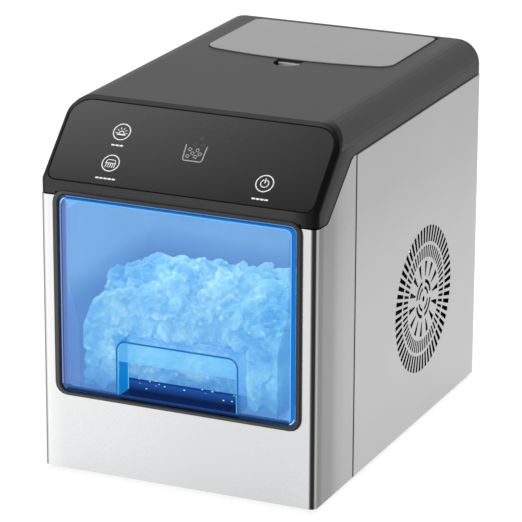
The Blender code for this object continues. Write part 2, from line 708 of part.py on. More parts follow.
def make_water_tank():
    rim_low, rim_high = 0.2945, 0.2972
    flange = rounded_rectangle((-0.0875, 0.2215), (0.0875, 0.3362), 0.006)
    body = rounded_rectangle((-0.0800, 0.2240), (0.0800, 0.3340), 0.008)
    tank = prism("water_tank", body, 0.2260, rim_high, "Z", "white_plastic")
    rim = prism("add_tank_rim", flange, rim_low, rim_high, "Z")
    spigot = rod("add_tank_spigot", PUMP_XY, 0.0070, 0.2130, 0.2270, "Z", segments=16)
    inside = prism("cut_tank_inside", rounded_rectangle((-0.0780, 0.2260), (0.0780, 0.3320), 0.006), 0.2280, 0.31, "Z")
    outlet = rod("cut_tank_outlet", PUMP_XY, 0.0045, 0.20, 0.24, "Z", segments=16)
    cut(unite(tank, rim, spigot), inside, outlet)
    sieve = [(0.0090, 0.2283), (0.0120, 0.2283), (0.0120, 0.2360), (0.0030, 0.2372), (0.0030, 0.2360), (0.0090, 0.2345)]
    turned("tank_filter", sieve, "white_plastic", (*PUMP_XY, 0), 16, hollow=True)


def make_pump():
    x, y = PUMP_XY
    pump = rod("water_pump", PUMP_XY, 0.0160, 0.1780, 0.2020, "Z", "black_plastic")
    inlet = rod("add_pump_inlet", PUMP_XY, 0.0060, 0.2000, 0.2127, "Z", segments=16)
    outlet = rod("add_pump_outlet", (y, 0.188), 0.0045, x - 0.0250, x - 0.010, "X", segments=16)
    unite(pump, inlet, outlet)
    knots = [(x - 0.0256, y, 0.188), (x - 0.040, y, 0.188), (-0.030, 0.294, 0.180), (-0.056, 0.282, 0.160)]
    knots += [(AUGER_X, 0.268, 0.138), (AUGER_X, 0.258, 0.1300), (AUGER_X, 0.2506, 0.130)]
    tube("feed_hose", knots, 0.0040, "silicone")


# ---------------------------------------------------------------- freezing works


def gear_outline(teeth, phase):
    """Involute teeth about the origin. One tooth points along the phase angle."""
    pitch = teeth * GEAR_MODULE / 2
    base = pitch * math.cos(PRESSURE_ANGLE)
    tip = pitch + 0.75 * GEAR_MODULE
    root = pitch - 1.1 * GEAR_MODULE
    half_tooth = math.pi / (2 * teeth) - BACKLASH / (2 * pitch)

    def involute(radius):
        pressure = math.acos(min(1, base / radius))
        return math.tan(pressure) - pressure

    def flank(radius):
        return half_tooth + involute(pitch) - involute(radius)

    radii = [root, max(root, base) + 0.0002, pitch, tip]
    points = []
    for tooth in range(teeth):
        middle = phase + 2 * math.pi * tooth / teeth
        for side, order in ((-1, radii), (1, radii[::-1])):
            for radius in order:
                angle = middle + side * flank(radius)
                points.append((radius * math.cos(angle), radius * math.sin(angle)))
    return points


def twin_circle_hull(big, small):
    """The convex outline round both gear centres."""
    lean = math.degrees(math.asin((big - small) / GEAR_SPACING))
    return arc((AUGER_X, PINION_Y), small, lean, 180 - lean, 8) + arc(
        (AUGER_X, AUGER_Y), big, 180 - lean, 360 + lean, 16
    )


def make_gearbox():
    housing = prism("gearbox_housing", twin_circle_hull(0.0535, 0.0190), 0.0038, GEARBOX_TOP, "Z", "aluminium")
    cavity = prism("cut_gearbox_cavity", twin_circle_hull(0.0515, 0.0165), 0.0070, 0.05, "Z")
    seat = rod("add_bearing_seat", (AUGER_X, AUGER_Y), 0.0145, 0.0060, 0.0165, "Z")
    pocket = rod("cut_bearing_pocket", (AUGER_X, AUGER_Y), 0.0114, 0.0092, 0.02, "Z")
    cut(housing, cavity)
    cut(unite(housing, seat), pocket)
    shafts = [circle((AUGER_X, AUGER_Y), 0.0075, 20), circle((AUGER_X, PINION_Y), 0.0045, 16)]
    prism("gearbox_cover", twin_circle_hull(0.0535, 0.0190), GEARBOX_TOP + GAP, 0.0480, "Z", "aluminium", shafts)
    rod("lower_bearing", (AUGER_X, AUGER_Y), 0.0110, 0.0095, 0.0165, "Z", "brass", 20, 0.0064)
    rod("upper_bearing", (AUGER_X, AUGER_Y), 0.0101, 0.1900, 0.2020, "Z", "brass", 20, 0.0069)
    motor = rod("drive_motor", (AUGER_X, PINION_Y), 0.0210, 0.0483, 0.1120, "Z", "zinc", 24)
    cap = rod("add_motor_cap", (AUGER_X, PINION_Y), 0.0090, 0.1110, 0.1160, "Z", segments=16)
    socket = rod("cut_motor_socket", (AUGER_X, PINION_Y), 0.0036, 0.04, 0.0600, "Z", segments=12)
    cut(unite(motor, cap), socket)


def make_auger():
    axis = make_empty("auger_axis", (AUGER_X, AUGER_Y, 0), MACHINE)
    profile = [(0, 0.0120), (0.0060, 0.0120), (0.0060, 0.0560), (0.0150, 0.0580), (0.0150, 0.1820)]
    profile += [(0.0065, 0.1840), (0.0065, 0.2050), (0, 0.2050)]
    auger = turned("auger", profile, "steel", (0, 0, 0), 20, axis)
    flight = helical_flight("add_auger_flight", 0.0140, 0.0225, 0.0600, 0.0260, 4.5, 0.0030)
    flight.parent = axis
    unite(auger, flight)
    bore = [circle((0, 0), 0.0064, 16)]
    prism("auger_gear", gear_outline(GEAR_TEETH, math.pi / 2), 0.0220, 0.0320, "Z", "brass", bore, parent=axis)
    pinion_axis = make_empty("pinion_axis", (AUGER_X, PINION_Y, 0), MACHINE)
    gap_down = -math.pi / 2 + math.pi / PINION_TEETH
    pinion = prism("motor_pinion", gear_outline(PINION_TEETH, gap_down), 0.0200, 0.0340, "Z", "steel", parent=pinion_axis)
    shaft = rod("add_pinion_shaft", (0, 0), 0.0030, 0.0180, 0.0580, "Z", segments=12, parent=pinion_axis)
    unite(pinion, shaft)


def helical_flight(name, inner, outer, low, pitch, turns, thick):
    """A flat-sided screw flight about the vertical axis."""
    steps = int(turns * 14)
    bm = bmesh.new()
    rings = []
    for i in range(steps + 1):
        angle = 2 * math.pi * turns * i / steps
        z = low + pitch * turns * i / steps
        c, s = math.cos(angle), math.sin(angle)
        corners = ((inner, 0), (outer, 0), (outer, thick), (inner, thick))
        rings.append([bm.verts.new((r * c, r * s, z + up)) for r, up in corners])
    bm.faces.new(rings[0])
    bm.faces.new(rings[-1])
    for lower, upper in zip(rings, rings[1:]):
        for i in range(4):
            bm.faces.new((lower[i - 1], lower[i], upper[i], upper[i - 1]))
    return solid(name, bm)


def make_barrel():
    where = (AUGER_X, AUGER_Y, 0)
    wall = [(0.0235, 0.0483), (0.0360, 0.0483), (0.0360, 0.0520), (0.0265, 0.0520), (0.0265, 0.1860), (0.0235, 0.1860)]
    barrel = turned("freezing_barrel", wall, "steel", where, 24, hollow=True)
    stub = rod("add_barrel_stub", (AUGER_X, 0.130), 0.0040, AUGER_Y + 0.0250, 0.2500, "Y", segments=12)
    stub_bore = rod("cut_barrel_stub", (AUGER_X, 0.130), 0.0022, AUGER_Y + 0.0200, 0.26, "Y", segments=12)
    cut(unite(barrel, stub), stub_bore)
    foam = [(0.0270, 0.0530), (0.0360, 0.0530), (0.0360, 0.1830), (0.0270, 0.1830)]
    jacket = turned("barrel_insulation", foam, "foam", where, 24, hollow=True)
    stub_gap = rod("cut_jacket_stub", (AUGER_X, 0.130), 0.0045, AUGER_Y + 0.0200, 0.26, "Y", segments=12)
    pipe_gap = rod("cut_jacket_liquid", (AUGER_Y, 0.081), 0.0040, AUGER_X + 0.0200, AUGER_X + 0.05, "X", segments=12)
    pipe_gap_up = rod("cut_jacket_suction", (AUGER_Y, 0.1625), 0.0045, AUGER_X + 0.0200, AUGER_X + 0.05, "X", segments=12)
    cut(jacket, stub_gap, pipe_gap, pipe_gap_up)
    head_profile = [(0.0105, 0.1865), (0.0260, 0.1865), (0.0260, 0.2120), (0.0235, 0.2120), (0.0235, 0.1975)]
    head_profile += [(0.0135, 0.1975), (0.0135, 0.2030), (0.0105, 0.2030)]
    head = turned("extruder_head", head_profile, "steel", where, 24, hollow=True)
    spout = box("cut_head_spout", (AUGER_X - 0.009, 0.170, 0.2050), (AUGER_X + 0.009, AUGER_Y - 0.014, 0.22))
    nozzles = []
    for i, centre in enumerate(circle((AUGER_X, AUGER_Y), 0.0183, 7)):
        nozzles.append(rod("cut_head_nozzle_%d" % i, centre, 0.0034, 0.18, 0.20, "Z", segments=10))
    cut(head, spout, *nozzles)
    make_chute()


def make_chute():
    low, high = AUGER_X - 0.022, AUGER_X + 0.022
    outer = [(0.1500, 0.1970), (0.1775, 0.2030), (0.1775, 0.2275), (0.1500, 0.2275)]
    inner = [(0.14, 0.1968), (0.14, 0.24), (0.19, 0.24), (0.19, 0.2077)]
    chute = prism("ice_chute", outer, low, high, "X", "white_plastic")
    cut(chute, prism("cut_chute_inside", inner, low + WALL, high - WALL, "X"))


def make_compressor():
    x, y = COMPRESSOR_XY
    profile = [(0, 0.0130), (0.0280, 0.0130), (0.0280, 0.0230), (0.0400, 0.0270), (0.0450, 0.0360), (0.0450, 0.0780)]
    profile += [(0.0460, 0.0790), (0.0460, 0.0820), (0.0450, 0.0830), (0.0450, 0.1160), (0.0390, 0.1320), (0.0220, 0.1400), (0, 0.1420)]
    shell = turned("compressor", profile, "black_paint", (x, y, 0), 24)
    holes = [(-0.022, 0.266), (-0.022, 0.332), (0.054, 0.266), (0.054, 0.332)]
    rims = [circle(centre, 0.0052, 12) for centre in holes]
    plate = prism("add_compressor_plate", rounded_rectangle((-0.030, 0.258), (0.062, 0.340), 0.007), 0.0120, 0.0145, "Z", holes=rims)
    unite(shell, plate)
    rubber = [(0, 0.0038), (0.0070, 0.0038), (0.0070, 0.0117), (0.0048, 0.0117), (0.0048, 0.0148), (0.0068, 0.0148)]
    rubber += [(0.0060, 0.0200), (0, 0.0200)]
    for i, centre in enumerate(holes, 1):
        turned("compressor_grommet_%d" % i, rubber, "rubber", (*centre, 0), 16)


def make_condenser():
    """A snaking finned plate whose gaps let the fan's air through along x."""
    fins, fin = 12, 0.0030
    y_low, y_high, z_low, z_high = 0.170, 0.286, 0.047, 0.167
    pitch = (y_high - y_low - fin) / (fins - 1)
    there, back = [], []
    for i in range(fins):
        left, right = y_low + i * pitch, y_low + i * pitch + fin
        turn_low, turn_high = z_low + fin, z_high - fin
        if i % 2 == 0:
            there += [(left, z_low if i == 0 else turn_low), (left, z_high)]
            back += [(right, z_low), (right, turn_high)]
        else:
            there += [(right, z_high), (right, turn_low)]
            back += [(left, turn_high), (left, z_low)]
    there[-1] = (y_high, z_low)
    back[-1] = (y_high - fin, z_low)
    prism("condenser", there + [(y_high - fin, z_low)] + back[-2::-1], 0.0625, 0.0800, "X", "aluminium")


def make_fan():
    low, high = [c - FAN_HALF for c in VENT_CENTRE], [c + FAN_HALF for c in VENT_CENTRE]
    outline = rounded_rectangle(low, high, 0.006)
    frame = prism("fan_frame", outline, FAN_INNER, FAN_OUTER, "X", "black_plastic", [circle(VENT_CENTRE, 0.0570, 32)])
    y, z = VENT_CENTRE
    back = FAN_INNER + 0.003
    struts = box("add_fan_strut_y", (FAN_INNER, y - 0.0585, z - 0.002), (back, y + 0.0585, z + 0.002))
    struts_up = box("add_fan_strut_z", (FAN_INNER, y - 0.002, z - 0.0585), (back, y + 0.002, z + 0.0585))
    hub = rod("add_fan_hub", VENT_CENTRE, 0.0180, FAN_INNER, back, "X")
    unite(frame, struts, struts_up, hub)
    socket = rod("cut_fan_motor", VENT_CENTRE, 0.0024, 0.0915, 0.11, "X", segments=12)
    cut(rod("fan_motor", VENT_CENTRE, 0.0150, back + GAP, 0.0975, "X", "zinc"), socket)
    make_rotor()


def make_rotor():
    spindle = make_empty("fan_axis", (0, *VENT_CENTRE), MACHINE)
    rotor = rod("fan_rotor", (0, 0), 0.0180, 0.0985, 0.1095, "X", "black_plastic", parent=spindle)
    shaft = rod("add_rotor_shaft", (0, 0), 0.0018, 0.0925, 0.1000, "X", segments=10, parent=spindle)
    bm = bmesh.new()
    blades, sweep, thick = 7, math.radians(34), 0.0016
    for blade in range(blades):
        start = 2 * math.pi * blade / blades
        corners = []
        for radius, wide in ((0.0165, 0.75), (0.0545, 1.0)):
            for angle, x in ((start, 0.0985), (start + sweep * wide, 0.1085)):
                point = (radius * math.cos(angle), radius * math.sin(angle))
                corners += [bm.verts.new((x, *point)), bm.verts.new((x + thick, *point))]
        for face in ((0, 1, 3, 2), (4, 6, 7, 5), (0, 4, 5, 1), (2, 3, 7, 6), (0, 2, 6, 4), (1, 5, 7, 3)):
            bm.faces.new([corners[i] for i in face])
    fan_blades = solid("add_rotor_blades", bm, parent=spindle)
    unite(rotor, shaft, fan_blades)


def make_pipes():
    x, y = COMPRESSOR_XY
    radius = 0.0028
    discharge = [(x + 0.010, y, 0.1434), (x + 0.010, y, 0.156), (x + 0.030, y - 0.012, 0.170), (0.066, 0.262, 0.176)]
    discharge += [(0.0712, 0.252, 0.174), (0.0712, 0.249, 0.1674)]
    tube("discharge_tube", discharge, radius, "copper")
    suction = [(x - 0.010, y, 0.1434), (x - 0.010, y, 0.154), (x - 0.020, y - 0.020, 0.166), (-0.012, 0.240, 0.168)]
    suction += [(-0.016, 0.215, 0.164), (-0.0248, AUGER_Y, 0.162), (-0.0256, AUGER_Y, 0.162)]
    tube("suction_tube", [*suction[:-2], (-0.0256, AUGER_Y, 0.162)], radius, "copper")
    liquid = [(0.0712, 0.180, 0.1674), (0.0712, 0.180, 0.176), (0.055, 0.182, 0.182), (0.010, 0.186, 0.120)]
    liquid += [(-0.010, 0.195, 0.082), (-0.0256, AUGER_Y, 0.080)]
    tube("liquid_line", liquid, 0.0020, "copper")


def make_electrics():
    board = box("power_board", (-0.1150, 0.294, 0.070), (-0.1134, 0.342, 0.190), "board")
    parts = boxes(
        "add_board_parts",
        [
            ((-0.1140, 0.300, 0.080), (-0.0950, 0.328, 0.112)),
            ((-0.1140, 0.302, 0.125), (-0.1020, 0.316, 0.140)),
            ((-0.1140, 0.322, 0.125), (-0.1020, 0.336, 0.150)),
            ((-0.1140, 0.300, 0.160), (-0.1060, 0.336, 0.170)),
        ],
    )
    unite(board, parts)
    gland = rod("cord_gland", (GLAND_X, GLAND_Z), 0.0076, 0.3380, 0.3510, "Y", "black_plastic")
    flange = rod("add_gland_flange", (GLAND_X, GLAND_Z), 0.0110, 0.3503, 0.3540, "Y", segments=24)
    bore = rod("cut_gland_bore", (GLAND_X, GLAND_Z), 0.0040, 0.33, 0.36, "Y", segments=16)
    cut(unite(gland, flange), bore)


clear_scene()
MACHINE = make_empty("machine", (0, -(DEPTH + PLUG_PROUD - BEZEL_PROUD) / 2, FOOT_HEIGHT))
for make in (
    make_base_pan,
    make_feet,
    make_front_frame,
    make_side_panels,
    make_rear_panel,
    make_top_cover,
    make_controls,
    make_tank_lid,
    make_window_bezel,
    make_liner,
    make_drawer,
    make_melt_tank,
    make_water_tank,
    make_pump,
    make_gearbox,
    make_auger,
    make_barrel,
    make_compressor,
    make_condenser,
    make_fan,
    make_pipes,
    make_electrics,
):
    make()
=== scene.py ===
"""Looks for the countertop nugget ice maker: materials, marks, ice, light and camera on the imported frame."""

import math
import random

import bmesh
import bpy
from mathutils import Euler, Matrix, Vector, noise


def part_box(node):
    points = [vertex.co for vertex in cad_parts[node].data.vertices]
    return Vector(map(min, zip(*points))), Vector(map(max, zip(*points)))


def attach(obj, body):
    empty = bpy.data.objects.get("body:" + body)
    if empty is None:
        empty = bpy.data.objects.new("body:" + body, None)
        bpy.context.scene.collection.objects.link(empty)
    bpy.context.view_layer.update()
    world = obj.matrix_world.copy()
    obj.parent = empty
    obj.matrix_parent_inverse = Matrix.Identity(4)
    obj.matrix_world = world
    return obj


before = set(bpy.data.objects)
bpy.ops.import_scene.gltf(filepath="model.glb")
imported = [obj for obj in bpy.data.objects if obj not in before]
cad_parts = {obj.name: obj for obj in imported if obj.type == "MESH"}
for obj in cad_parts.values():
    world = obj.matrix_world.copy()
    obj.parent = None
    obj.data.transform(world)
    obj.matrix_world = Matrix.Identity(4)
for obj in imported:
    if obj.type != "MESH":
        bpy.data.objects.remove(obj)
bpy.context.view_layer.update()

# The frame's origin against the machine's own: y is measured from the steel front, z from the cabinet's foot.
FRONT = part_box("front_frame")[0][1]
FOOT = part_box("front_frame")[0][2]

# Half the cabinet's width, how far back the front sheet's sides reach, where the side sheets start behind
# them and end below the cover, and the tank lid's thickness.
CABINET_HALF = 0.1200
FOLD_DEPTH = 0.0770
SEAM_BACK = 0.0782
SIDE_SHEET_TOP = 0.2715
LID_THICK = 0.0030

# The drawer window's limits on the front plane, its corner radius, and where the wall behind it starts.
WINDOW_HALF = 0.1024
WINDOW_LOW = 0.0680
WINDOW_HIGH = 0.2314
WINDOW_RADIUS = 0.0064
WALL_START = 0.0034

# The band of light low on the finger pocket's back, from and to these heights.
BAND_LOW = 0.0684
BAND_HIGH = 0.0790

# The slanted control face's foot and top as (y, z).
SLOPE_FOOT = (0.0, 0.2425)
SLOPE_TOP = (0.058, 0.300)
SLOPE_LENGTH = math.hypot(SLOPE_TOP[0] - SLOPE_FOOT[0], SLOPE_TOP[1] - SLOPE_FOOT[1])
SLOPE_RUN = (SLOPE_TOP[0] - SLOPE_FOOT[0]) / SLOPE_LENGTH
SLOPE_RISE = (SLOPE_TOP[1] - SLOPE_FOOT[1]) / SLOPE_LENGTH


def at(x, y, z):
    """A point given from the steel front and the cabinet's foot, in the frame."""
    return Vector((x, FRONT + y, FOOT + z))


# ---------------------------------------------------------------- materials


def principled(name):
    material = bpy.data.materials.new(name)
    material.use_nodes = True
    return material, material.node_tree, material.node_tree.nodes["Principled BSDF"]


def surface(
    name,
    colour,
    roughness,
    metallic=0.0,
    tint=0.06,
    grain=900.0,
    stretch=(1, 1, 1),
    rough_swing=0.06,
    bump=0.02,
    alpha=1.0,
    glow=None,
    glow_strength=0.0,
    specular=0.5,
    blotch=9.0,
):
    """A Principled material whose colour, roughness and relief vary with noise laid in object coordinates."""
    material, tree, shader = principled(name)
    nodes, links = tree.nodes, tree.links
    coords = nodes.new("ShaderNodeTexCoord")
    mapping = nodes.new("ShaderNodeMapping")
    mapping.inputs["Scale"].default_value = stretch
    links.new(coords.outputs["Object"], mapping.inputs["Vector"])
    fine = noise_texture(tree, mapping.outputs["Vector"], grain, 3)
    broad = noise_texture(tree, coords.outputs["Object"], blotch, 2)
    halved = math_node(tree, "MULTIPLY", broad.outputs["Fac"], 0.5)
    mixed = math_node(tree, "MULTIPLY_ADD", fine.outputs["Fac"], 0.5, halved)
    ramp = nodes.new("ShaderNodeValToRGB")
    ramp.color_ramp.elements[0].position = 0.3
    ramp.color_ramp.elements[1].position = 0.7
    ramp.color_ramp.elements[0].color = (*[c * (1 - tint) for c in colour], 1)
    ramp.color_ramp.elements[1].color = (*[min(1, c * (1 + tint)) for c in colour], 1)
    links.new(mixed, ramp.inputs["Fac"])
    links.new(ramp.outputs["Color"], shader.inputs["Base Color"])
    rough = nodes.new("ShaderNodeMapRange")
    rough.inputs["From Min"].default_value = 0.3
    rough.inputs["From Max"].default_value = 0.7
    rough.inputs["To Min"].default_value = max(0.01, roughness - rough_swing)
    rough.inputs["To Max"].default_value = min(1, roughness + rough_swing)
    links.new(mixed, rough.inputs["Value"])
    links.new(rough.outputs["Result"], shader.inputs["Roughness"])
    relief = nodes.new("ShaderNodeBump")
    relief.inputs["Strength"].default_value = bump
    relief.inputs["Distance"].default_value = 0.0004
    links.new(fine.outputs["Fac"], relief.inputs["Height"])
    links.new(relief.outputs["Normal"], shader.inputs["Normal"])
    shader.inputs["Metallic"].default_value = metallic
    shader.inputs["Specular IOR Level"].default_value = specular
    shader.inputs["Alpha"].default_value = alpha
    if glow:
        shader.inputs["Emission Color"].default_value = (*glow, 1)
        shader.inputs["Emission Strength"].default_value = glow_strength
    return material


def noise_texture(tree, vector, scale, detail, distortion=0.0):
    node = tree.nodes.new("ShaderNodeTexNoise")
    node.inputs["Scale"].default_value = scale
    node.inputs["Detail"].default_value = detail
    node.inputs["Distortion"].default_value = distortion
    tree.links.new(vector, node.inputs["Vector"])
    return node


def math_node(tree, operation, *values):
    """The output of a math node; each value is a number or another node's output."""
    node = tree.nodes.new("ShaderNodeMath")
    node.operation = operation
    for socket, value in zip(node.inputs, values):
        if isinstance(value, (int, float)):
            socket.default_value = value
        else:
            tree.links.new(value, socket)
    return node.outputs[0]


def place_along(tree, axis):
    """The object coordinate along X, Y or Z, in metres of the frame."""
    coords = tree.nodes.new("ShaderNodeTexCoord")
    parts = tree.nodes.new("ShaderNodeSeparateXYZ")
    tree.links.new(coords.outputs["Object"], parts.inputs["Vector"])
    return parts.outputs[axis]


def ramp_over(tree, value, low, high, stops):
    """A colour ramp over this range of a value; a stop is (0 to 1, grey level or colour)."""
    span = tree.nodes.new("ShaderNodeMapRange")
    span.inputs["From Min"].default_value = low
    span.inputs["From Max"].default_value = high
    tree.links.new(value, span.inputs["Value"])
    ramp = tree.nodes.new("ShaderNodeValToRGB")
    elements = ramp.color_ramp.elements
    for _ in stops[2:]:
        elements.new(0.5)
    for element, (position, level) in zip(elements, stops):
        element.position = position
        element.color = (level, level, level, 1) if isinstance(level, (int, float)) else (*level, 1)
    tree.links.new(span.outputs["Result"], ramp.inputs["Fac"])
    return ramp.outputs["Color"]


def blend(tree, kind, factor, a, b):
    """Mixes two colours; each is a number, for a grey, or another node's output."""
    node = tree.nodes.new("ShaderNodeMix")
    node.data_type = "RGBA"
    node.blend_type = kind
    for name, value in (("Factor", factor), ("A", a), ("B", b)):
        if not isinstance(value, (int, float)):
            tree.links.new(value, node.inputs[name])
        elif name == "Factor":
            node.inputs[name].default_value = value
        else:
            node.inputs[name].default_value = (value, value, value, 1)
    return node.outputs["Result"]


def tone(material, colour, socket="Base Color"):
    """Multiplies a material's colour by another node's output."""
    tree = material.node_tree
    shader = tree.nodes["Principled BSDF"]
    before = shader.inputs[socket].links[0].from_socket
    tree.links.new(blend(tree, "MULTIPLY", 1.0, before, colour), shader.inputs[socket])
    return material


def steel_with_painted_reflections():
    """The front sheet with painted reflections: paler towards the left, a painted dark reflection at each
    edge, a painted highlight line at the right corner, and painted reflection levels along and up its sides.
    """
    material = surface("steel", (0.74, 0.74, 0.74), 0.30, 1.0, tint=0.012, bump=0.012, **STEEL_BRUSH)
    tree = material.node_tree
    across = place_along(tree, "X")
    # Painted reflections across the face and its corners, back along the sides, and up them.
    fold_reflection = ramp_over(tree, across, -CABINET_HALF, CABINET_HALF, FOLD_REFLECTION_STOPS)
    side = ramp_over(tree, place_along(tree, "Y"), FRONT, FRONT + FOLD_DEPTH, SIDE_REFLECTION_STOPS)
    rise_reflection = ramp_over(tree, place_along(tree, "Z"), FOOT, FOOT + RISE_HEIGHT, RISE_REFLECTION_STOPS)
    side = blend(tree, "MULTIPLY", 1.0, side, rise_reflection)
    beyond = math_node(tree, "GREATER_THAN", math_node(tree, "ABSOLUTE", across), CABINET_HALF - 0.0001)
    return tone(material, blend(tree, "MIX", beyond, fold_reflection, side))


def side_steel_with_painted_shade():
    """The side sheets: satin outside, with painted shade within and in the slots' cut edges, painted shadow
    lines at the seam and under the cover, and painted reflection levels up the sides.
    """
    material = surface("side_steel", (0.47, 0.47, 0.472), 0.36, 1.0, tint=0.02, bump=0.015, **STEEL_BRUSH)
    tree = material.node_tree
    across = math_node(tree, "ABSOLUTE", place_along(tree, "X"))
    # Painted shade inside the sheet and in the slots' cut edges.
    painted_shade_within = [(0, 0.015), (0.5, 0.015), (0.9, 1.0)]
    tone(material, ramp_over(tree, across, CABINET_HALF - 0.00025, CABINET_HALF - 0.00005, painted_shade_within))
    # A painted shadow line just behind the seam with the front sheet.
    seam = FRONT + SEAM_BACK
    behind = [(0, 0.12), (0.6, 0.12), (1, 1.0)]
    tone(material, ramp_over(tree, place_along(tree, "Y"), seam, seam + 0.0010, behind))
    # A painted shadow line along the top, under the cover.
    top = FOOT + SIDE_SHEET_TOP
    under = [(0, 1.0), (0.4, 0.12), (1, 0.12)]
    tone(material, ramp_over(tree, place_along(tree, "Z"), top - 0.0012, top, under))
    # Painted reflection levels up the sides.
    return tone(material, ramp_over(tree, place_along(tree, "Z"), FOOT, FOOT + RISE_HEIGHT, RISE_REFLECTION_STOPS))


def lid_with_painted_rim_shade():
    """The grey tank lid, with painted shade round its rim below the rounded edge."""
    material = surface("lid", (0.215, 0.215, 0.218), 0.36, tint=0.03, grain=1700, bump=0.05)
    tree = material.node_tree
    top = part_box("tank_lid")[1][2]
    # Painted shade on the lid's rim below its rounded edge.
    rim = [(0, 1.0), (0.02, 1.0), (0.06, 0.12), (0.72, 0.12), (0.80, 1.0), (1, 1.0)]
    return tone(material, ramp_over(tree, place_along(tree, "Z"), top - LID_THICK, top, rim))


def panel_with_painted_reflection():
    """The gloss control face, with a painted reflection that makes it a little paler towards its upper left.
    """
    material = surface("panel", (0.075, 0.075, 0.077), 0.30, tint=0.05, grain=2400, bump=0.01)
    tree = material.node_tree
    # Painted reflection: paler at the left and towards the top.
    across = [(0, 1.0), (0.35, 0.80), (1, 0.33)]
    tone(material, ramp_over(tree, place_along(tree, "X"), -0.115, 0.115, across))
    upward = [(0, 0.45), (0.35, 0.75), (1, 1.15)]
    return tone(material, ramp_over(tree, place_along(tree, "Z"), FOOT + 0.243, FOOT + 0.297, upward))


def lit_bay():
    """The compartment's white walls under blue light: sky blue above, violet blue low down."""
    material = surface("bay", (0.10, 0.12, 0.16), 0.42, tint=0.06, blotch=22)
    tree = material.node_tree
    shader = tree.nodes["Principled BSDF"]
    left_glow = ramp_over(tree, place_along(tree, "Z"), FOOT + 0.070, FOOT + 0.222, LEFT_BAY)
    right_side = ramp_over(tree, place_along(tree, "X"), 0.04, 0.09, [(0, 0.0), (1, 1.0)])
    right_glow = ramp_over(tree, place_along(tree, "Z"), FOOT, FOOT + 0.2, RIGHT_BAY)
    glow = blend(tree, "MIX", right_side, left_glow, right_glow)
    cloud = tree.nodes.new("ShaderNodeTexNoise")
    cloud.inputs["Scale"].default_value = 16
    cloud.inputs["Detail"].default_value = 3
    shade = ramp_over(tree, cloud.outputs["Fac"], 0.3, 0.7, [(0, 0.90), (1, 1.0)])
    tree.links.new(blend(tree, "MULTIPLY", 1.0, glow, shade), shader.inputs["Emission Color"])
    shader.inputs["Emission Strength"].default_value = 0.92
    (_, _, low), (right, back, high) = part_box("bin_liner")
    half_wall = 0.0006
    across = math_node(tree, "ABSOLUTE", place_along(tree, "X"))
    inside = math_node(tree, "LESS_THAN", across, right - half_wall)
    for axis, test, limit in (
        ("Y", "LESS_THAN", back - half_wall),
        ("Z", "GREATER_THAN", low + half_wall),
        ("Z", "LESS_THAN", high - half_wall),
    ):
        inside = math_node(tree, "MULTIPLY", inside, math_node(tree, test, place_along(tree, axis), limit))
    return tone(material, inside, "Emission Color")


def shaded_cover():
    """Fine-grained black plastic with painted dark reflections: darkest on the rounded corners at the right
    end of its front band, and paling back along the sides.
    """
    base = (0.050, 0.050, 0.0507)
    material = surface("cover", base, 0.36, tint=0.07, grain=1900, bump=0.10, rough_swing=0.04, specular=0.04)
    tree = material.node_tree
    depth = math_node(tree, "SUBTRACT", place_along(tree, "Y"), FRONT)
    drop = math_node(tree, "SUBTRACT", FOOT + SLOPE_FOOT[1], place_along(tree, "Z"))
    below = math_node(tree, "MULTIPLY", drop, SLOPE_RUN)
    behind = math_node(tree, "MULTIPLY_ADD", depth, SLOPE_RISE, below)
    inward = math_node(tree, "MINIMUM", depth, behind)
    across = math_node(tree, "ABSOLUTE", place_along(tree, "X"))
    # Painted dark reflections on the rounded front corners, darkest at the right end, and back along the
    # sides, paling with depth.
    corner = ramp_over(tree, across, 0.1145, 0.1195, [(0, 1.0), (0.30, 0.50), (1, 0.30)])
    front = math_node(tree, "LESS_THAN", inward, 0.0055)
    side = ramp_over(tree, inward, 0.0, 0.030, [(0, 0.20), (0.25, 0.30), (0.6, 0.75), (1, 1.0)])
    sideways = math_node(tree, "GREATER_THAN", across, 0.11940)
    right_end_reflection = ramp_over(tree, place_along(tree, "X"), 0.098, 0.112, [(0, 1.0), (1, 0.20)])
    corner = blend(tree, "MULTIPLY", 1.0, corner, right_end_reflection)
    tone(material, blend(tree, "MIX", front, 1.0, corner))
    return tone(material, blend(tree, "MIX", sideways, 1.0, side))


def shaded_bezel():
    """The bezel: a satin rim round a lip in painted shade, black at the left and foot, and carrying painted
    blue light at the right and top.
    """
    base = (0.070, 0.070, 0.072)
    material = surface("bezel", base, 0.26, tint=0.08, grain=1900, bump=0.05, rough_swing=0.04, specular=0.25)
    tree = material.node_tree
    middle, half_height = (WINDOW_LOW + WINDOW_HIGH) / 2, (WINDOW_HIGH - WINDOW_LOW) / 2
    across = place_along(tree, "X")
    height = math_node(tree, "SUBTRACT", place_along(tree, "Z"), FOOT + middle)
    past_side = math_node(tree, "SUBTRACT", math_node(tree, "ABSOLUTE", across), WINDOW_HALF - WINDOW_RADIUS)
    past_end = math_node(tree, "SUBTRACT", math_node(tree, "ABSOLUTE", height), half_height - WINDOW_RADIUS)
    squares = [
        math_node(tree, "POWER", math_node(tree, "MAXIMUM", past, 0.0), 2.0) for past in (past_side, past_end)
    ]
    out = math_node(tree, "SQRT", math_node(tree, "ADD", *squares))
    rim = 0.0120
    # Painted shade makes the lip black at the left and foot; painted blue light lies on it at the right and
    # top.
    unlit = [(0, 0.02), (0.32, 0.03), (0.40, 0.80), (0.85, 1.0), (0.96, 0.30)]
    lit = [(0, (0.05, 0.50, 1.0)), (0.16, (0.25, 0.65, 0.95)), (0.30, (0.30, 0.40, 0.55)), (0.42, 0.55)]
    lit += [(0.62, 0.50), (0.70, 0.06), (1.0, 0.04)]
    low_left = ramp_over(tree, out, WINDOW_RADIUS, rim, unlit)
    high_right = ramp_over(tree, out, WINDOW_RADIUS, rim, lit)
    turn = ramp_over(tree, math_node(tree, "ADD", across, height), -0.020, 0.020, [(0, 0.0), (1, 1.0)])
    return tone(material, blend(tree, "MIX", turn, low_left, high_right))


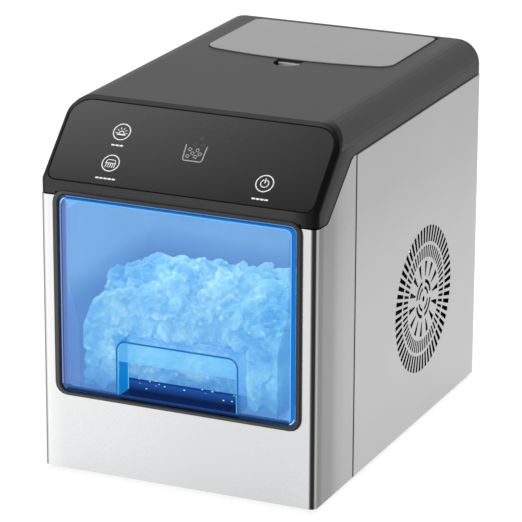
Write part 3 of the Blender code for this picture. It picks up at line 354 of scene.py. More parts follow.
def ice_material():
    """Nugget ice glowing in painted light: cloudy cyan to blue, with painted shading that leans one way on its
    facets, painted highlights on its ridges, fine bright painted glints along cell edges here and there, and
    darker towards its foot.
    """
    material, tree, shader = principled("ice")
    nodes, links = tree.nodes, tree.links
    coords = nodes.new("ShaderNodeTexCoord")
    crinkle = noise_texture(tree, coords.outputs["Object"], 190, 4, 0.8)
    relief = nodes.new("ShaderNodeBump")
    relief.inputs["Strength"].default_value = 0.22
    relief.inputs["Distance"].default_value = 0.0015
    links.new(crinkle.outputs["Fac"], relief.inputs["Height"])
    # Painted shading from one direction over the bumped facets.
    lean = nodes.new("ShaderNodeVectorMath")
    lean.operation = "DOT_PRODUCT"
    lean.inputs[1].default_value = Vector((-0.30, -0.45, 0.84)).normalized()
    links.new(relief.outputs["Normal"], lean.inputs[0])
    drift = noise_texture(tree, coords.outputs["Object"], 34, 4, 0.5)
    ridge = nodes.new("ShaderNodeAttribute")
    ridge.attribute_name = "ridge"
    painted_facet_light = math_node(tree, "MULTIPLY_ADD", lean.outputs["Value"], 0.15, -0.04)
    painted_facet_light = math_node(tree, "ADD", painted_facet_light, math_node(tree, "MULTIPLY", ridge.outputs["Fac"], 0.55))
    level = math_node(tree, "MULTIPLY_ADD", drift.outputs["Fac"], 1.05, painted_facet_light)
    light = ramp_over(tree, level, 0.62, 1.12, ICE_STOPS)
    # Fine bright lines of painted glints along cell edges.
    edge_glints = nodes.new("ShaderNodeTexVoronoi")
    edge_glints.feature = "DISTANCE_TO_EDGE"
    edge_glints.inputs["Scale"].default_value = 85
    warp = nodes.new("ShaderNodeMix")
    warp.data_type = "VECTOR"
    warp.inputs["Factor"].default_value = 0.02
    links.new(coords.outputs["Object"], warp.inputs["A"])
    links.new(crinkle.outputs["Color"], warp.inputs["B"])
    links.new(warp.outputs["Result"], edge_glints.inputs["Vector"])
    line = ramp_over(tree, edge_glints.outputs["Distance"], 0.0, 0.10, [(0, 0.40), (0.30, 0.0)])
    some = ramp_over(tree, drift.outputs["Fac"], 0.50, 0.62, [(0, 0.0), (1, 1.0)])
    # Painted highlights on the crests.
    crest_highlights = ramp_over(tree, ridge.outputs["Fac"], 0.60, 0.85, [(0, 0.0), (1, (0.35, 0.75, 0.8))])
    shine = blend(tree, "SCREEN", 1.0, blend(tree, "MULTIPLY", 1.0, line, some), crest_highlights)
    lit = blend(tree, "SCREEN", 1.0, light, shine)
    foot = [(0, (0.25, 0.45, 0.68)), (1, 1.0)]
    low = ramp_over(tree, place_along(tree, "Z"), FOOT + 0.072, FOOT + 0.100, foot)
    lit = blend(tree, "MULTIPLY", 1.0, lit, low)
    sides = [(0, (0.55, 0.78, 0.93)), (0.20, 0.96), (0.35, 1.10), (0.50, 0.93), (0.65, 1.0)]
    sides.append((1, (0.55, 0.85, 0.95)))
    lit = blend(tree, "MULTIPLY", 1.0, lit, ramp_over(tree, place_along(tree, "X"), -0.090, 0.090, sides))
    links.new(lit, shader.inputs["Emission Color"])
    shader.inputs["Emission Strength"].default_value = 0.95
    links.new(blend(tree, "MULTIPLY", 1.0, lit, 0.12), shader.inputs["Base Color"])
    links.new(relief.outputs["Normal"], shader.inputs["Normal"])
    shader.inputs["Roughness"].default_value = 0.14
    shader.inputs["Coat Weight"].default_value = 0.2
    return material


def lit_plastic(name, glow, alpha=1.0):
    """Clear blue plastic lit from within, the light painted as a glow, with soft uneven patches."""
    base = [0.1 * level for level in glow]
    look = dict(tint=0.15, blotch=40, alpha=alpha, specular=0.05, bump=0.01)
    return surface(name, base, 0.3, glow=glow, glow_strength=0.95, **look)


def pocket_band():
    """The wet back of the pocket just above its floor, with a painted blue glow that is darkest at its foot.
    """
    material = surface("pocket_band", (0.002, 0.006, 0.02), 0.3, tint=0.2, blotch=60, specular=0.1)
    tree = material.node_tree
    stops = [
        (0, (0.004, 0.014, 0.060)),
        (0.30, (0.008, 0.045, 0.19)),
        (0.75, (0.012, 0.085, 0.36)),
        (0.9, (0.0, 0.04, 0.24)),
    ]
    glow = ramp_over(tree, place_along(tree, "Z"), FOOT + BAND_LOW, FOOT + BAND_HIGH, stops)
    shader = tree.nodes["Principled BSDF"]
    tree.links.new(glow, shader.inputs["Emission Color"])
    shader.inputs["Emission Strength"].default_value = 0.95
    return material


STEEL_BRUSH = dict(grain=1.0, stretch=(60, 60, 4200))
PRINT = dict(tint=0.03, grain=2000)
# Painted reflection levels across the front sheet from its left edge to its right one, with a dark reflection
# at each edge and a highlight line at the right corner; and back along its sides to the seam, ending in a
# painted shadow line.
FOLD_REFLECTION_STOPS = [
    (0, 0.12),
    (0.010, 0.14),
    (0.0135, 0.55),
    (0.018, 1.20),
    (0.03, 1.12),
    (0.083, 1.02),
    (0.324, 0.99),
    (0.578, 0.92),
    (0.869, 0.88),
    (0.9790, 0.88),
    (0.9808, 0.035),
    (0.9955, 0.03),
    (0.9962, 0.72),
    (0.9980, 0.72),
    (0.9988, 0.25),
    (1, 0.23),
]
SIDE_REFLECTION_STOPS = [
    (0, 0.23),
    (0.08, 0.24),
    (0.12, 0.215),
    (0.145, 0.25),
    (0.17, 0.31),
    (0.21, 0.335),
    (0.40, 0.345),
    (0.56, 0.48),
    (0.75, 0.535),
    (0.984, 0.55),
    (0.990, 0.09),
]
# Painted reflection levels up the sides, darker towards the top, from the foot to this height.
RISE_HEIGHT = 0.30
RISE_REFLECTION_STOPS = [(0, 1.03), (0.20, 1.02), (0.53, 0.92), (0.75, 0.80), (0.9, 0.78)]
# The lit colours of the bay's walls from low to high, at the left and at the right.
LEFT_BAY = [
    (0, (0.10, 0.165, 0.43)),
    (0.42, (0.10, 0.175, 0.45)),
    (0.60, (0.25, 0.47, 0.76)),
    (1, (0.25, 0.47, 0.76)),
]
RIGHT_BAY = [(0, (0.10, 0.28, 0.62)), (1, (0.22, 0.46, 0.78))]
# The ice's painted glow from its darkest blue to its palest.
ICE_STOPS = [
    (0.0, (0.10, 0.36, 0.69)),
    (0.35, (0.19, 0.48, 0.74)),
    (0.70, (0.31, 0.65, 0.80)),
    (1.0, (0.50, 0.86, 0.88)),
]
M = {
    "steel": steel_with_painted_reflections(),
    "side_steel": side_steel_with_painted_shade(),
    "rear_steel": surface("rear_steel", (0.53, 0.53, 0.535), 0.36, 1.0, tint=0.02, bump=0.015, **STEEL_BRUSH),
    "works_steel": surface("works_steel", (0.58, 0.59, 0.60), 0.32, 1.0, tint=0.06, grain=600),
    "cover": shaded_cover(),
    "bezel": shaded_bezel(),
    "black": surface("black", (0.025, 0.025, 0.026), 0.48, tint=0.10, grain=1500, bump=0.12),
    "panel": panel_with_painted_reflection(),
    # The white print glows a little: painted light on the marks.
    "marks": surface("marks", (0.82, 0.82, 0.82), 0.5, glow=(1, 1, 1), glow_strength=0.12, **PRINT),
    "marks_dim": surface("marks_dim", (0.36, 0.36, 0.36), 0.5, **PRINT),
    "marks_faint": surface("marks_faint", (0.10, 0.10, 0.10), 0.5, **PRINT),
    "lid": lid_with_painted_rim_shade(),
    # The window glows faintly blue: painted light from the drawer's lit inside.
    "window": surface(
        "window",
        (0.10, 0.30, 0.60),
        0.06,
        tint=0.06,
        rough_swing=0.02,
        bump=0.002,
        alpha=0.16,
        specular=0.3,
        blotch=14,
        glow=(0.06, 0.20, 0.42),
        glow_strength=1.0,
    ),
    "basket": surface("basket", (0.06, 0.10, 0.22), 0.08, tint=0.05, rough_swing=0.03, bump=0.01, alpha=0.14),
    # Lit plastic: the drawer's blue light painted as glows, in deep, pale, shaded, glinting and hazy copies.
    "glow_deep": lit_plastic("glow_deep", (0.004, 0.18, 0.66)),
    "glow_azure": lit_plastic("glow_azure", (0.002, 0.20, 0.60)),
    "glow_top": lit_plastic("glow_top", (0.003, 0.085, 0.32)),
    "glow_foot": lit_plastic("glow_foot", (0.006, 0.040, 0.16)),
    "glow_foot_faint": lit_plastic("glow_foot_faint", (0.015, 0.09, 0.34), alpha=0.6),
    "glow_shade": lit_plastic("glow_shade", (0.012, 0.04, 0.17), alpha=0.85),
    "glow_violet": lit_plastic("glow_violet", (0.16, 0.25, 0.60), alpha=0.65),
    "glow_pale": lit_plastic("glow_pale", (0.17, 0.50, 0.90)),
    "glow_glint": lit_plastic("glow_glint", (0.55, 0.80, 1.0)),
    "glow_lilac": lit_plastic("glow_lilac", (0.23, 0.32, 0.60)),
    "glow_line": lit_plastic("glow_line", (0.004, 0.17, 0.48)),
    "glow_haze": lit_plastic("glow_haze", (0.25, 0.75, 1.0), alpha=0.30),
    "glow_mist": lit_plastic("glow_mist", (0.10, 0.40, 0.75), alpha=0.15),
    "pocket_band": pocket_band(),
    # A dim navy glow: painted shade with a little painted light.
    "navy": lit_plastic("navy", (0.004, 0.014, 0.070)),
    # The drops glow faintly: a painted highlight.
    "water": surface("water", (0.80, 0.93, 1.0), 0.05, tint=0.05, glow=(0.7, 0.9, 1.0), glow_strength=0.35),
    "bay": lit_bay(),
    # Near black: the dark gap round the panel, and painted shade in the lid's finger notch.
    "notch": surface("notch", (0.004, 0.004, 0.004), 0.6, tint=0.2, grain=1500, bump=0.1, specular=0.1),
    "white": surface("white", (0.74, 0.75, 0.76), 0.42, tint=0.03, grain=1500, bump=0.05),
    "rubber": surface("rubber", (0.022, 0.022, 0.022), 0.85, tint=0.12, grain=1300, bump=0.2),
    "zinc": surface("zinc", (0.55, 0.56, 0.57), 0.42, 1.0, tint=0.14, grain=300, blotch=70),
    "enamel": surface("enamel", (0.018, 0.018, 0.019), 0.34, tint=0.10, grain=500, bump=0.12),
    "aluminium": surface("aluminium", (0.66, 0.67, 0.68), 0.42, 1.0, tint=0.06, grain=700, bump=0.10),
    "copper": surface("copper", (0.70, 0.33, 0.18), 0.30, 1.0, tint=0.12, grain=350, blotch=60),
    "foam": surface("foam", (0.06, 0.06, 0.06), 0.95, tint=0.25, grain=2600, bump=0.6),
    "silicone": surface("silicone", (0.72, 0.75, 0.78), 0.32, tint=0.04, alpha=0.75),
    "board": surface("board", (0.018, 0.13, 0.05), 0.42, tint=0.25, grain=2200, bump=0.15),
    "brass": surface("brass", (0.68, 0.47, 0.18), 0.34, 1.0, tint=0.08, grain=500),
    "led": surface("led", (0.60, 0.80, 1.0), 0.4, tint=0.04, glow=(0.20, 0.55, 1.0), glow_strength=3.0),
    "ice": ice_material(),
}


def numbered(name, count):
    return [f"{name}_{i}" for i in range(1, count + 1)]


NODE_FINISH = {
    "steel": ["front_frame"],
    "side_steel": ["side_panel_right", "side_panel_left"],
    "rear_steel": ["rear_panel"],
    "works_steel": ["auger", "motor_pinion", "freezing_barrel", "extruder_head"],
    "cover": ["top_cover"],
    "bezel": ["window_bezel"],
    "panel": ["control_panel"],
    "lid": ["tank_lid"],
    "window": ["drawer_window"],
    "basket": ["ice_basket"],
    "bay": ["bin_liner", "drawer_runner_left", "drawer_runner_right", "ice_chute"],
    "white": ["melt_tank", "water_tank", "tank_filter"],
    "black": ["bin_full_sensor", "drain_fitting", "water_pump", "fan_frame", "fan_rotor", "cord_gland"],
    "zinc": ["base_pan", "lid_hinge_pin", "drive_motor", "fan_motor", *numbered("rear_screw", 4)],
    "enamel": ["compressor"],
    "aluminium": ["gearbox_housing", "gearbox_cover", "condenser"],
    "copper": ["discharge_tube", "suction_tube", "liquid_line"],
    "foam": ["barrel_insulation"],
    "silicone": ["drain_hose", "feed_hose"],
    "board": ["control_board", "power_board"],
    "brass": ["auger_gear", "lower_bearing", "upper_bearing"],
    "led": ["led_strip"],
    "rubber": [
        "drain_plug",
        "foot_front_left",
        "foot_front_right",
        "foot_rear_left",
        "foot_rear_right",
        *numbered("compressor_grommet", 4),
    ],
}

# How wide each visible node's edges are rounded, in metres.
EDGE_ROUNDING = {
    "top_cover": 0.0009,
    "tank_lid": 0.0009,
    "window_bezel": 0.0007,
    "control_panel": 0.0003,
    "drawer_window": 0.0005,
    "ice_basket": 0.0005,
    "bin_liner": 0.0005,
}


def finish_nodes():
    """Gives every CAD node its material, smooth curves and, where it shows, rounded edges."""
    for finish, names in NODE_FINISH.items():
        for name in names:
            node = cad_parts[name]
            node.data.materials.clear()
            node.data.materials.append(M[finish])
            node.data.shade_smooth()
            node.data.set_sharp_from_angle(angle=math.radians(32))
            if name in EDGE_ROUNDING:
                flat = node.modifiers.new("merge flat faces", "DECIMATE")
                flat.decimate_type = "DISSOLVE"
                flat.angle_limit = math.radians(0.5)
                edge = node.modifiers.new("rounded edges", "BEVEL")
                edge.width = EDGE_ROUNDING[name]
                edge.segments = 2
                edge.limit_method = "ANGLE"
                edge.angle_limit = math.radians(38)
                edge.harden_normals = True


# ---------------------------------------------------------------- pieces


def piece(name, bm, finish, body, smooth=False):
    """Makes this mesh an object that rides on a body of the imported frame."""
    mesh = bpy.data.meshes.new(name)
    bm.to_mesh(mesh)
    bm.free()
    if smooth:
        mesh.shade_smooth()
    obj = bpy.data.objects.new(name, mesh)
    bpy.context.scene.collection.objects.link(obj)
    mesh.materials.append(M[finish])
    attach(obj, body)


def arc(centre, radius, start, end, steps):
    """Points on an arc, its ends in degrees."""
    angles = [math.radians(start + (end - start) * i / steps) for i in range(steps + 1)]
    return [(centre[0] + radius * math.cos(a), centre[1] + radius * math.sin(a)) for a in angles]


def rounded(low, high, radius, top=None):
    """A rectangle's outline with round corners; top is the upper corners' radius where it differs."""
    top, steps = top or radius, 6
    return (
        arc((high[0] - radius, low[1] + radius), radius, -90, 0, steps)
        + arc((high[0] - top, high[1] - top), top, 0, 90, steps)
        + arc((low[0] + top, high[1] - top), top, 90, 180, steps)
        + arc((low[0] + radius, low[1] + radius), radius, 180, 270, steps)
    )


# Control marks, drawn as (x, distance up the slanted face) in metres, just clear of the face.
MARK_LIFT = 0.00012
THIN_LINE = 0.0006
LINE = 0.0009
KEY_RADIUS = 0.0072
LAMP_KEY = (-0.0643, 0.0508)
CLEANING_KEY = (-0.0643, 0.0220)
POWER_KEY = (0.0688, 0.0220)


def on_slope(x, up):
    y = SLOPE_FOOT[0] + up * SLOPE_RUN - MARK_LIFT * SLOPE_RISE
    z = SLOPE_FOOT[1] + up * SLOPE_RISE + MARK_LIFT * SLOPE_RUN
    return at(x, y, z)


def stroke(bm, points, width, closed=False):
    """A flat line of this width along the points, with round joints."""
    ends = points + points[:1] if closed else points
    for (ax, ay), (bx, by) in zip(ends, ends[1:]):
        length = math.hypot(bx - ax, by - ay)
        sx, sy = -(by - ay) / length * width / 2, (bx - ax) / length * width / 2
        corners = [(ax + sx, ay + sy), (bx + sx, by + sy), (bx - sx, by - sy), (ax - sx, ay - sy)]
        bm.faces.new([bm.verts.new(on_slope(*c)) for c in corners])
    for x, y in ends:
        bm.faces.new([bm.verts.new(on_slope(*c)) for c in arc((x, y), width / 2, 0, 360, 8)[:-1]])


def ring(bm, centre, radius, width, start=0, end=360):
    stroke(bm, arc(centre, radius, start, end, 40), width)


def cubes(bm, places):
    """Small ice cubes as outlined diamonds at (x, up) in millimetres."""
    for x, up in places:
        stroke(bm, arc((x / 1000, up / 1000), 0.0017, 20, 380, 4)[:-1], 0.0006, True)


def lamp_key(bm):
    """A lamp's dome on its foot, with rays, in a ring."""
    x, up = LAMP_KEY
    ring(bm, LAMP_KEY, KEY_RADIUS, LINE)
    stroke(bm, arc((x, up - 0.0014), 0.0021, 10, 170, 10), LINE)
    stroke(bm, [(x - 0.0034, up - 0.0024), (x + 0.0034, up - 0.0024)], 0.0011)
    for angle in range(0, 181, 36):
        c, s = math.cos(math.radians(angle)), math.sin(math.radians(angle))
        stroke(bm, [(x + reach * c, up - 0.001 + reach * s) for reach in (0.0035, 0.0049)], THIN_LINE)


def cleaning_key(bm):
    """A brush head with bristles, in a ring."""
    x, up = CLEANING_KEY
    ring(bm, CLEANING_KEY, KEY_RADIUS, LINE)
    head = arc((x - 0.0022, up + 0.0014), 0.0016, 180, 90, 4)
    head += arc((x + 0.0022, up + 0.0014), 0.0016, 90, 0, 4)
    stroke(bm, [(x - 0.0042, up - 0.0004), *head, (x + 0.0042, up - 0.0004)], THIN_LINE)
    stroke(bm, [(x - 0.0042, up), (x + 0.0042, up)], THIN_LINE)
    for i in range(5):
        lean = x - 0.0034 + i * 0.0019
        stroke(bm, [(lean, up - 0.0002), (lean - 0.0005, up - 0.0038)], THIN_LINE)


def power_key(bm):
    x, up = POWER_KEY
    ring(bm, POWER_KEY, KEY_RADIUS, LINE)
    ring(bm, POWER_KEY, 0.0033, LINE, 120, 420)
    stroke(bm, [(x, up + 0.0006), (x, up + 0.0044)], LINE)


def label_dashes(bm):
    """Plain dashes under the keys, in place of words."""
    for x, up, count in ((-0.0643, 0.0384, 3), (-0.0643, 0.0079, 5), (0.0691, 0.0079, 4)):
        for i in range(count):
            left = x + (i - (count - 1) / 2) * 0.0036
            stroke(bm, [(left - 0.0009, up), (left + 0.0009, up)], 0.0014)


def bucket_mark(dim, faint):
    """An ice bucket with cubes, and faint cubes falling into it."""
    x, low, high = 0.0026, 0.0331, 0.0470
    bucket = [(x - 0.0090, high), (x - 0.0084, low + 0.0016), (x - 0.0072, low)]
    bucket += [(x + 0.0072, low), (x + 0.0084, low + 0.0016), (x + 0.0090, high)]
    stroke(dim, bucket, 0.0010)
    cubes(dim, [(-2.0, 43.2), (4.5, 43.2), (1.1, 40.0), (7.4, 40.0), (-2.5, 37.1), (4.3, 37.1)])
    cubes(faint, [(0.9, 47.9), (7.4, 48.3), (4.9, 53.9)])


def panel_marks():
    """The dark gap round the control panel and the marks printed on it."""
    gap, bright, dim, faint = bmesh.new(), bmesh.new(), bmesh.new(), bmesh.new()
    stroke(gap, rounded((-0.1149, 0.0017), (0.1149, 0.0769), 0.0077, top=0.0172), LINE, True)
    lamp_key(bright)
    cleaning_key(bright)
    power_key(bright)
    label_dashes(bright)
    bucket_mark(dim, faint)
    piece("panel_gap_line", gap, "notch", "cabinet")
    piece("panel_marks", bright, "marks", "cabinet")
    piece("panel_bucket_mark", dim, "marks_dim", "cabinet")
    piece("panel_faint_marks", faint, "marks_faint", "cabinet")


def face_plane(layer):
    """The y of something printed on the window's face; a higher layer lies further out."""
    return -0.00005 - layer * 0.00003


def plate(bm, outline, inner, front, back):
    """A flat ring between two outlines of equal length, in x and z, from y front to y back."""
    rows = [
        [bm.verts.new(at(x, y, z)) for x, z in loop]
        for loop, y in ((outline, front), (inner, front), (inner, back), (outline, back))
    ]
    for a, b in zip(rows, rows[1:] + rows[:1]):
        for i in range(len(outline)):
            bm.faces.new((a[i - 1], a[i], b[i], b[i - 1]))
    bmesh.ops.recalc_face_normals(bm, faces=bm.faces)


def strip(name, loops, finish, layer=0):
    """A thin ring between two outlines on the window's face."""
    bm = bmesh.new()
    y = face_plane(layer)
    plate(bm, *loops, y, y + 0.00002)
    piece(name, bm, finish, "drawer")


def inset(left, right, low, high, radius):
    """The window's outline moved in by these distances at its four sides."""
    corner = (-WINDOW_HALF + left, WINDOW_LOW + low)
    return rounded(corner, (WINDOW_HALF - right, WINDOW_HIGH - high), radius)


def ribbon(bm, path, width, y):
    """A flat line of this width along points in x and z, on the plane at y."""
    for (ax, az), (bx, bz) in zip(path, path[1:]):
        length = math.hypot(bx - ax, bz - az)
        sx, sz = -(bz - az) / length * width / 2, (bx - ax) / length * width / 2
        corners = [(ax + sx, az + sz), (bx + sx, bz + sz), (bx - sx, bz - sz), (ax - sx, az - sz)]
        bm.faces.new([bm.verts.new(at(x, y, z)) for x, z in corners])


def window_line(name, path, width, finish, layer):
    """A line of this width on the window's face."""
    bm = bmesh.new()
    ribbon(bm, path, width, face_plane(layer))
    piece(name, bm, finish, "drawer")


def sheet(name, corners, finish):
    """One flat face through these corners, riding on the drawer."""
    bm = bmesh.new()
    bm.faces.new([bm.verts.new(at(*corner)) for corner in corners])
    piece(name, bm, finish, "drawer")


def window_edges():
    """The lit rim of the drawer's thick clear front, painted as glowing strips: deep blue at the right and
    above, lilac at the left, with painted shade and highlight lines, a painted shade and glow along its foot,
    and painted glints at two corners.
    """
    edge = inset(0.0002, 0.0002, 0.0002, 0.0002, 0.0062)
    deep = inset(0.0003, 0.0036, 0.0003, 0.0026, 0.0056)
    strip("window_lit_edge", (edge, deep), "glow_deep")
    strip("window_edge_highlight", (deep, inset(0.0004, 0.0045, 0.0004, 0.0036, 0.0052)), "glow_pale")
    shade = inset(0.0003, 0.0006, 0.0003, 0.0015, 0.0058)
    strip("window_edge_shade", (edge, shade), "glow_top", 1)
    left, right, low, high = -WINDOW_HALF, WINDOW_HALF, WINDOW_LOW, WINDOW_HIGH
    x = right - 0.0033
    window_line("window_right_shade", [(x, low + 0.006), (x, high - 0.006)], 0.0006, "glow_top", 2)
    for name, along, width, finish in (
        ("window_left_highlight", 0.0008, 0.0011, "glow_lilac"),
        ("window_left_shade", 0.00175, 0.0007, "glow_shade"),
        ("window_left_haze", 0.0045, 0.0046, "glow_violet"),
    ):
        corner = arc((left + 0.0070, high - 0.0075), 0.0070 - along, 180, 115, 6)
        window_line(name, [(left + along, low + 0.005), *corner], width, finish, 2)
    for name, up, width, finish in (
        ("window_foot_shade", 0.0007, 0.0010, "navy"),
        ("window_foot_glow", 0.0017, 0.0010, "glow_foot"),
        ("window_foot_haze", 0.0027, 0.0010, "glow_foot_faint"),
    ):
        window_line(name, [(left + 0.0045, low + up), (right - 0.0045, low + up)], width, finish, 1)
    glint = arc((left + 0.0075, high - 0.0075), 0.0062, 172, 110, 6)
    window_line("window_glint_high", glint, 0.0006, "glow_glint", 3)
    glint = arc((right - 0.0066, low + 0.0066), 0.0060, -72, -12, 6)
    window_line("window_glint_low", glint, 0.0007, "glow_glint", 3)


# The finger pocket: half its width, its top, corner radius, depth, and where the clear skin over it ends.
POCKET_HALF = 0.0530
POCKET_TOP = 0.1160
POCKET_RADIUS = 0.0080
POCKET_BACK = 0.0190
POCKET_MOUTH_TOP = 0.1000
POCKET_FLOOR = 0.0690


def pocket_arch(grow):
    """The finger pocket's outline in x and z, grown by this much, from its left foot to its right one."""
    side, turn = POCKET_HALF + grow, POCKET_RADIUS + grow
    foot, top = WINDOW_LOW + 0.001, POCKET_TOP - POCKET_RADIUS
    shoulder = POCKET_HALF - POCKET_RADIUS
    left, right = arc((-shoulder, top), turn, 180, 90, 8), arc((shoulder, top), turn, 90, 0, 8)
    return [(-side, foot), *left, *right, (side, foot)]


def pocket_lines():
    """The pocket's outline on the window's face, and the fainter one round its back, painted as glowing lines
    with a painted glint inside the front one.
    """
    front = -0.00006
    for name, grow, y, width, finish in (
        ("pocket_outline", 0.0, front, 0.0015, "glow_line"),
        ("pocket_outline_glint", -0.0010, front, 0.0005, "glow_pale"),
        ("pocket_back_outline", 0.0015, POCKET_BACK + 0.0002, 0.0008, "glow_line"),
    ):
        line = bmesh.new()
        ribbon(line, pocket_arch(grow), width, y)
        piece(name, line, finish, "drawer")


def pocket_walls():
    """The pocket's side walls, glowing azure at the left and misty at the right in painted light, the painted
    haze and highlight line on the lip of the skin over its top, and its lit back corner.
    """
    for name, side, finish in (("pocket_wall_left", -1, "glow_azure"), ("pocket_wall_right", 1, "glow_mist")):
        x, low, high = side * (POCKET_HALF - 0.0003), POCKET_FLOOR, POCKET_TOP - 0.0020
        outline = [(WALL_START, low), (POCKET_BACK, low), (POCKET_BACK, high), (WALL_START, high)]
        sheet(name, [(x, y, z) for y, z in outline], finish)
    lip, half, y = POCKET_MOUTH_TOP, POCKET_HALF - 0.0015, face_plane(0)
    skin_top = POCKET_TOP - 0.0015
    skin = [(-half, y, lip), (half, y, lip), (half, y, skin_top), (-half, y, skin_top)]
    sheet("pocket_skin_haze", skin, "glow_haze")
    half = POCKET_HALF - 0.0010
    window_line("pocket_lip_highlight", [(-half, lip - 0.0003), (half, lip - 0.0003)], 0.0005, "glow_pale", 1)
    left, right, y = -POCKET_HALF + 0.0004, -POCKET_HALF + 0.0011, POCKET_BACK - 0.0001
    corner = [(left, y, 0.0695), (right, y, 0.0695), (right, y, lip), (left, y, lip)]
    sheet("pocket_back_corner", corner, "glow_pale")


def pocket_floor():
    """The pocket's wet floor, dark with a dim painted navy glow, and the band of painted light low on its
    back.
    """
    half, back = POCKET_HALF - 0.0006, POCKET_BACK + 0.0002
    corners = [(-half, WALL_START), (half, WALL_START), (half, back), (-half, back)]
    floor = bmesh.new()
    levels = (POCKET_FLOOR - 0.0005, POCKET_FLOOR)
    low, high = ([floor.verts.new(at(x, y, z)) for x, y in corners] for z in levels)
    floor.faces.new(low[::-1])
    floor.faces.new(high)
    for i in range(4):
        floor.faces.new((low[i - 1], low[i], high[i], high[i - 1]))
    bmesh.ops.recalc_face_normals(floor, faces=floor.faces)
    piece("pocket_floor", floor, "navy", "drawer")
    low, high, y = BAND_LOW, BAND_HIGH, POCKET_BACK + 0.0001
    band = [(-half, y, low), (half, y, low), (half, y, high), (-half, y, high)]
    sheet("pocket_back_band", band, "pocket_band")


def pocket_drops():
    """A few drops of water low on the pocket's back, glowing faintly as a painted highlight."""
    drops = bmesh.new()
    chance = random.Random(5)
    for _ in range(16):
        size = chance.uniform(0.0003, 0.0007)
        spot = at(chance.uniform(-0.048, 0.047), 0.0186, chance.triangular(0.0715, 0.0800, 0.0785))
        where = Matrix.Translation(spot) @ Matrix.Diagonal((chance.uniform(0.8, 1.8), 0.4, 0.8, 1))
        bmesh.ops.create_icosphere(drops, subdivisions=2, radius=size, matrix=where)
    piece("pocket_drops", drops, "water", "drawer", smooth=True)


def notch_shade_liner():
    """A near-black liner of painted shade inside the finger notch in front of the tank lid."""
    centre, radius, reach, low, high = (0, 0.2140), 0.0115, 0.2218, 0.2927, 0.2990
    path = [(-radius, reach), *arc(centre, radius, 180, 360, 16), (radius, reach)]
    bm = bmesh.new()
    rows = [[bm.verts.new(at(x, y, z)) for x, y in path] for z in (high, low)]
    for i in range(1, len(path)):
        bm.faces.new((rows[0][i - 1], rows[0][i], rows[1][i], rows[1][i - 1]))
    bm.faces.new(rows[1])
    bmesh.ops.recalc_face_normals(bm, faces=bm.faces)
    piece("lid_notch_shade", bm, "notch", "cabinet")


# Ice heap: the height of its crest across the drawer, as (x, z) from the cabinet's foot.
CREST = [
    (-0.0880, 0.124),
    (-0.0845, 0.146),
    (-0.0720, 0.162),
    (-0.0570, 0.168),
    (-0.0400, 0.169),
    (-0.0230, 0.171),
    (-0.0120, 0.162),
    (-0.0030, 0.150),
    (0.0060, 0.160),
    (0.0150, 0.171),
    (0.0370, 0.172),
    (0.0480, 0.168),
    (0.0560, 0.162),
    (0.0724, 0.158),
    (0.0860, 0.154),
]

# Room inside the basket: half-widths below and above its flare, as (z, half-width), its floor and its back.
BASKET_SIDES = [(0.125, 0.0853), (0.158, 0.0943)]
BASKET_FLOOR = 0.0712
BASKET_BACK = 0.1548
ICE_FRONT = 0.0050
ICE_VOXEL = 0.0013
NUGGET_TRIES = 2600
NUGGET_SIZES = (0.0048, 0.0062, 0.0078, 0.0095, 0.0115)

# The room that the finger pocket takes from the ice: half its width, its top and its back.
POCKET_ROOM_HALF = 0.0565
POCKET_ROOM_TOP = 0.1190
POCKET_ROOM_BACK = 0.0226


def between(points, x):
    """The height at x of a line through points in order of x, level past its ends."""
    if x <= points[0][0]:
        return points[0][1]
    for (ax, az), (bx, bz) in zip(points, points[1:]):
        if x <= bx:
            return az + (bz - az) * (x - ax) / (bx - ax)
    return points[-1][1]


def heap_height(x, y):
    """How high the ice stands at x and y, from the cabinet's foot."""
    ridge = 0.050
    fall = 0.50 * (ridge - y) if y < ridge else 0.30 * (y - ridge)
    return max(0.085, between(CREST, x) - fall)


def unit_ball():
    """Points and faces of a ball of radius 1."""
    bm = bmesh.new()
    bmesh.ops.create_icosphere(bm, subdivisions=3, radius=1)
    points = [vert.co.copy() for vert in bm.verts]
    faces = [[vert.index for vert in face.verts] for face in bm.faces]
    bm.free()
    return points, faces


def add_lump(points, faces, shape):
    """Adds one closed shape, given as points and faces, to the lists of a mesh."""
    first = len(points)
    points.extend(shape[0])
    faces.extend([[first + corner for corner in face] for face in shape[1]])


def nugget(ball, centre, size, chance):
    """One broken, knobbly nugget."""
    turn = Euler([chance.uniform(0, 6.28) for _ in range(3)]).to_matrix()
    squash = Matrix.Diagonal((1, chance.uniform(0.65, 1), chance.uniform(0.55, 0.95)))
    seed = Vector([chance.uniform(-50, 50) for _ in range(3)])
    points = []
    for point in ball[0]:
        lumps = noise.noise(point * 1.1 + seed)
        chips = noise.noise(point * 2.6 + seed)
        points.append(centre + turn @ (squash @ (point * size * (1 + 0.45 * lumps + 0.22 * chips))))
    return points, ball[1]


def heap_core(points, faces):
    """Columns that fill the heap just under its skin of nuggets, behind and over the finger pocket."""
    pitch, skin, half = 0.0055, 0.0060, 0.0035
    corners = [(i, j, k) for i in (-1, 1) for j in (-1, 1) for k in (0, 1)]
    sides = [(0, 1, 3, 2), (4, 6, 7, 5), (0, 4, 5, 1), (2, 3, 7, 6), (0, 2, 6, 4), (1, 5, 7, 3)]
    for x in ((i - 15) * pitch for i in range(31)):
        for y in (0.0125 + i * pitch for i in range(26)):
            top = heap_height(x, y) - skin
            foot = 0.1225 if abs(x) < 0.0600 and y < 0.0265 else 0.0735
            if top > foot + 0.002:
                column = [at(x + i * half, y + j * half, (foot, top)[k]) for i, j, k in corners]
                add_lump(points, faces, (column, sides))


